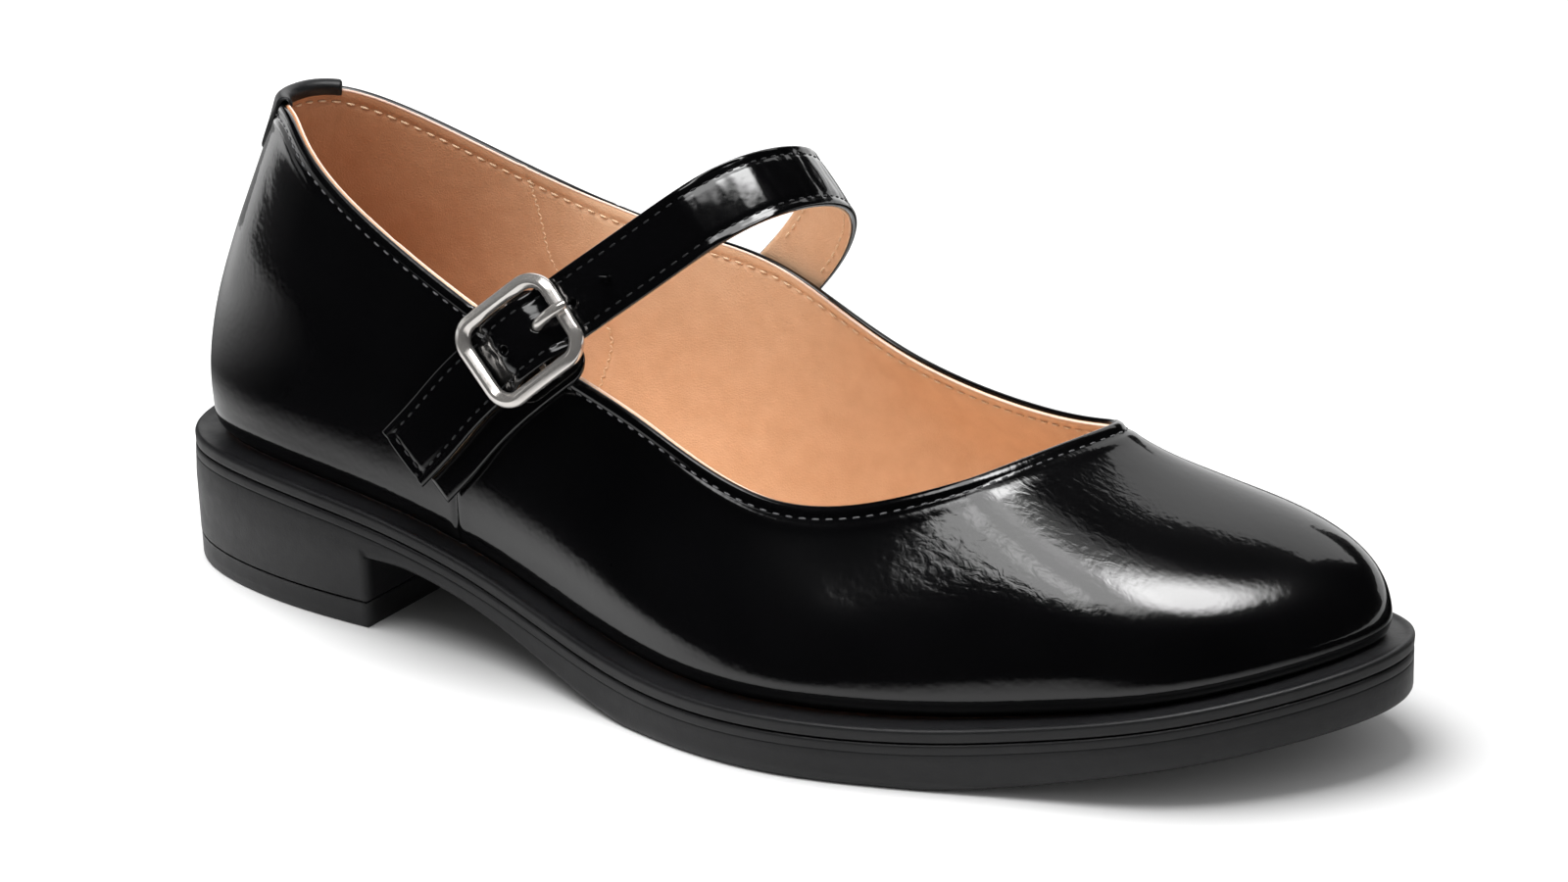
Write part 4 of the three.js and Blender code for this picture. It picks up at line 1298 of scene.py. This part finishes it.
def build_prong():
    made = Surfaces()
    rows = np.array(PRONG_PATH)
    control = spline_controls(rows, False)
    at = np.linspace(0, len(rows) - 1, 50)
    line = on_spline(control, at, False)
    radii = 0.90 + 0.12 * np.sin(np.pi * at / at[-1])
    ends = np.minimum(at / 0.25, (at[-1] - at) / 0.45)
    radii = radii * np.sqrt(np.clip(1 - (1 - np.clip(ends, 0, 1)) ** 2, 0.03, 1))
    path = np.stack([BUCKLE_MIDDLE + line[:, 0], 0 * at, line[:, 1]], 1)
    tube(made, path, radii)
    return made.piece("nickel_prong", NICKEL, "nickel", ["buckle_prong"])


build_prong()


# ---- Studio -----------------------------------------------------------------------------------
# A white floor, one round softbox overhead towards the outer side, and a pale even room. Cards
# that only the gloss sees stand for the softbox, the white sheet behind and the dark in front.
def stage_object(name, mesh, material):
    made = bpy.data.objects.new(name, mesh)
    bpy.context.collection.objects.link(made)
    made.data.materials.append(material)
    return made


def flat_mesh(name, corners):
    mesh = bpy.data.meshes.new(name)
    mesh.from_pydata(corners, [], [tuple(range(len(corners)))])
    return mesh


def floor_material():
    """Matt white, with a painted shadow under the arch, and a painted glow that grows away from the
    shoe and keeps the far floor white."""
    made, shader, add, links = new_material("white_floor")
    place = add("ShaderNodeTexCoord").outputs["Object"]
    cloud = add("ShaderNodeTexNoise", Vector=place, Scale=2.0, Detail=2.0).outputs["Fac"]
    tone = colour_steps(add, cloud, [(0.3, (0.80, 0.80, 0.80)), (0.7, (0.82, 0.82, 0.82))])
    # Painted shadow: the floor's colour is darkened in an ellipse under the arch.
    hollow = add("ShaderNodeMapping", Vector=place, Location=(0.50, 0.0, 0.0),
                 Scale=(12.0, 16.0, 0.0))
    inside = add("ShaderNodeVectorMath", {"operation": "LENGTH"})
    links.new(hollow.outputs["Vector"], inside.inputs[0])
    shade = add("ShaderNodeMapRange", {"interpolation_type": "SMOOTHSTEP"},
                Value=inside.outputs["Value"], From_Min=0.3, From_Max=1.0, To_Min=0.42, To_Max=1.0)
    shaded = add("ShaderNodeVectorMath", {"operation": "SCALE"})
    links.new(tone, shaded.inputs[0])
    links.new(shade.outputs["Result"], shaded.inputs["Scale"])
    links.new(shaded.outputs["Vector"], shader.inputs["Base Color"])
    # Painted glow: the floor gives off more light further from the shoe, though it is no lamp.
    away = add("ShaderNodeVectorMath", {"operation": "LENGTH"})
    links.new(place, away.inputs[0])
    lift = add("ShaderNodeMapRange", Value=away.outputs["Value"], From_Min=0.2, From_Max=0.9,
               To_Min=0.0, To_Max=0.62)
    links.new(tone, shader.inputs["Emission Color"])
    links.new(lift.outputs["Result"], shader.inputs["Emission Strength"])
    set_sockets(shader, Roughness=0.9, Specular_IOR_Level=0.0)
    return made


def hide_from(thing, *rays):
    """Keeps a thing out of the sight of these kinds of rays."""
    for ray in rays:
        setattr(thing, "visible_" + ray, False)


def glow_card(name, corners, strength, spots=(), clear=()):
    """A card that shows only in reflections. spots are (x, y, reach x, reach y, core, strength) in
    metres on the card, and clear are patches in the same form through which one sees past it."""
    made = bpy.data.materials.new(name)
    made.use_nodes = True
    nodes, links = made.node_tree.nodes, made.node_tree.links
    nodes.clear()
    place = nodes.new("ShaderNodeTexCoord").outputs["Object"]

    def ellipse(x, y, reach_x, reach_y, sharp):
        move = nodes.new("ShaderNodeMapping")
        move.inputs["Location"].default_value = (-x / reach_x, -y / reach_y, 0)
        move.inputs["Scale"].default_value = (1 / reach_x, 1 / reach_y, 0)
        links.new(place, move.inputs["Vector"])
        size = nodes.new("ShaderNodeVectorMath")
        size.operation = "LENGTH"
        links.new(move.outputs["Vector"], size.inputs[0])
        fall = nodes.new("ShaderNodeMapRange")
        fall.interpolation_type = "SMOOTHSTEP"
        fall.inputs["From Min"].default_value = 1.0
        fall.inputs["From Max"].default_value = sharp
        links.new(size.outputs["Value"], fall.inputs["Value"])
        return fall.outputs["Result"]

    def total(patches):
        """The sum of the patches, each times its strength."""
        result = None
        for *patch, power in patches:
            part = nodes.new("ShaderNodeMath")
            part.operation = "MULTIPLY_ADD"
            part.inputs[1].default_value = power
            part.inputs[2].default_value = 0.0
            links.new(ellipse(*patch), part.inputs[0])
            if result is not None:
                links.new(result, part.inputs[2])
            result = part.outputs["Value"]
        return result

    glow = nodes.new("ShaderNodeEmission")
    glow.inputs["Strength"].default_value = strength
    if spots:
        links.new(total(spots), glow.inputs["Strength"])
    end = nodes.new("ShaderNodeOutputMaterial")
    if clear:
        through = nodes.new("ShaderNodeBsdfTransparent")
        mix = nodes.new("ShaderNodeMixShader")
        links.new(total(clear), mix.inputs["Fac"])
        links.new(glow.outputs["Emission"], mix.inputs[1])
        links.new(through.outputs["BSDF"], mix.inputs[2])
        links.new(mix.outputs["Shader"], end.inputs["Surface"])
    else:
        links.new(glow.outputs["Emission"], end.inputs["Surface"])
    card = stage_object(name, flat_mesh(name, corners), made)
    hide_from(card, "camera", "diffuse", "shadow", "transmission", "volume_scatter")


FLOOR_SIZE, SOFTBOX_UP = 30.0, 0.8
stage_object("floor", flat_mesh("floor", [
    (-FLOOR_SIZE, -FLOOR_SIZE, 0), (FLOOR_SIZE, -FLOOR_SIZE, 0),
    (FLOOR_SIZE, FLOOR_SIZE, 0), (-FLOOR_SIZE, FLOOR_SIZE, 0)]), floor_material())

# What the gloss sees: the softbox 0.8 m up, with the bright patches of its lamps over the outer
# side, the instep and the toe.
glow_card("softbox_face", [
    (-1.0, -1.1, SOFTBOX_UP), (0.7, -1.1, SOFTBOX_UP), (0.7, 0.6, SOFTBOX_UP),
    (-1.0, 0.6, SOFTBOX_UP)], 0.0, [
        (0.10, -0.22, 0.28, 0.36, 0.45, 5.2), (-0.035, -0.55, 0.225, 0.26, 0.45, 5.2),
        (0.28, 0.065, 0.225, 0.30, 0.3, 16.5), (0.02, 0.08, 0.32, 0.28, 0.4, 1.0)])
# The white sheet behind in three parts with a gap before the toe, a grey patch of floor behind
# the heel, and the pale room to the left.
glow_card("back_sheet", [
    (-2.2, 2.4, -0.1), (-0.3, 2.4, -0.1), (-0.3, 2.4, 3.5), (-2.2, 2.4, 3.5)], 1.1)
glow_card("back_sheet_foot", [
    (-0.3, 2.4, -0.1), (1.1, 2.4, -0.1), (1.1, 2.4, 0.55), (-0.3, 2.4, 0.55)], 0.9)
glow_card("back_sheet_top", [
    (-0.3, 2.4, 1.35), (0.5, 2.4, 1.35), (0.5, 2.4, 3.5), (-0.3, 2.4, 3.5)], 1.1)
glow_card("dark_behind", [
    (-0.45, 0.15, 0.004), (0.02, 0.15, 0.004), (0.02, 0.5, 0.004), (-0.45, 0.5, 0.004)], 0.25)
glow_card("left_room", [(-2.6, -1.2, -0.1), (-2.6, 2.4, -0.1), (-2.6, 2.4, 0.7), (-2.6, -1.2, 0.7)],
          0.5)
# The floor goes dark away from the shoe on the side of the camera and the toe.
glow_card("dark_floor", [
    (-FLOOR_SIZE, -FLOOR_SIZE, 0.002), (FLOOR_SIZE, -FLOOR_SIZE, 0.002),
    (FLOOR_SIZE, 0.25, 0.002), (-FLOOR_SIZE, 0.25, 0.002)], 0.0,
          clear=[(0.0, 0.0, 0.225, 0.118, 0.62, 0.85), (-0.56, 0.1, 0.42, 0.4, 0.3, 0.6)])


def build_surround():
    """A pale round wall far beyond the shoe, which only the camera sees and which lights nothing."""
    sides, away, low, high = 48, 7.0, -1.0, 5.0
    corners = [(away * math.cos(turn), away * math.sin(turn), z) for z in (low, high)
               for turn in round_steps(sides)]
    mesh = bpy.data.meshes.new("surround")
    mesh.from_pydata(corners, [], [(k, (k + 1) % sides, (k + 1) % sides + sides, k + sides)
                                   for k in range(sides)])
    made, shader, *_ = new_material("pale_surround")
    set_sockets(shader, Base_Color=(0, 0, 0, 1), Specular_IOR_Level=0.0, Roughness=1.0,
                Emission_Color=(1, 1, 1, 1), Emission_Strength=0.905)
    made.cycles.emission_sampling = "NONE"
    wall = stage_object("surround", mesh, made)
    hide_from(wall, "diffuse", "glossy", "shadow", "transmission", "volume_scatter")


build_surround()

softbox_light = bpy.data.lights.new("softbox", "AREA")
softbox_light.shape = "DISK"
softbox_light.size = 1.0
softbox_light.energy = 13.0
softbox = bpy.data.objects.new("softbox", softbox_light)
softbox.location = (-0.30, -0.15, SOFTBOX_UP)
bpy.context.collection.objects.link(softbox)
hide_from(softbox, "camera", "glossy")

world = bpy.data.worlds.new("room")
bpy.context.scene.world = world
world.use_nodes = True
world.node_tree.nodes["Background"].inputs["Color"].default_value = (1, 1, 1, 1)
world.node_tree.nodes["Background"].inputs["Strength"].default_value = 0.5
world.cycles_visibility.glossy = False

# ---- Camera -----------------------------------------------------------------------------------
# It sees the outer side and the toe from a little above. The lens is long and stands well back,
# so that the shoe narrows only a little towards the heel.
CAMERA_TURN, CAMERA_RISE, CAMERA_AWAY = math.radians(31.9), math.radians(20.55), 1.6
back = mathutils.Vector((math.sin(CAMERA_TURN) * math.cos(CAMERA_RISE),
                         -math.cos(CAMERA_TURN) * math.cos(CAMERA_RISE), math.sin(CAMERA_RISE)))
lens = bpy.data.cameras.new("camera")
lens.lens = 200
lens.sensor_width = 36
lens.clip_end = 60
camera = bpy.data.objects.new("camera", lens)
camera.location = mathutils.Vector((0.004, 0.0, 0.043)) + back * CAMERA_AWAY
camera.rotation_mode = "QUATERNION"
camera.rotation_quaternion = (-back).to_track_quat("-Z", "Y")
bpy.context.collection.objects.link(camera)
bpy.context.scene.camera = camera
bpy.context.scene.view_settings.view_transform = "Standard"
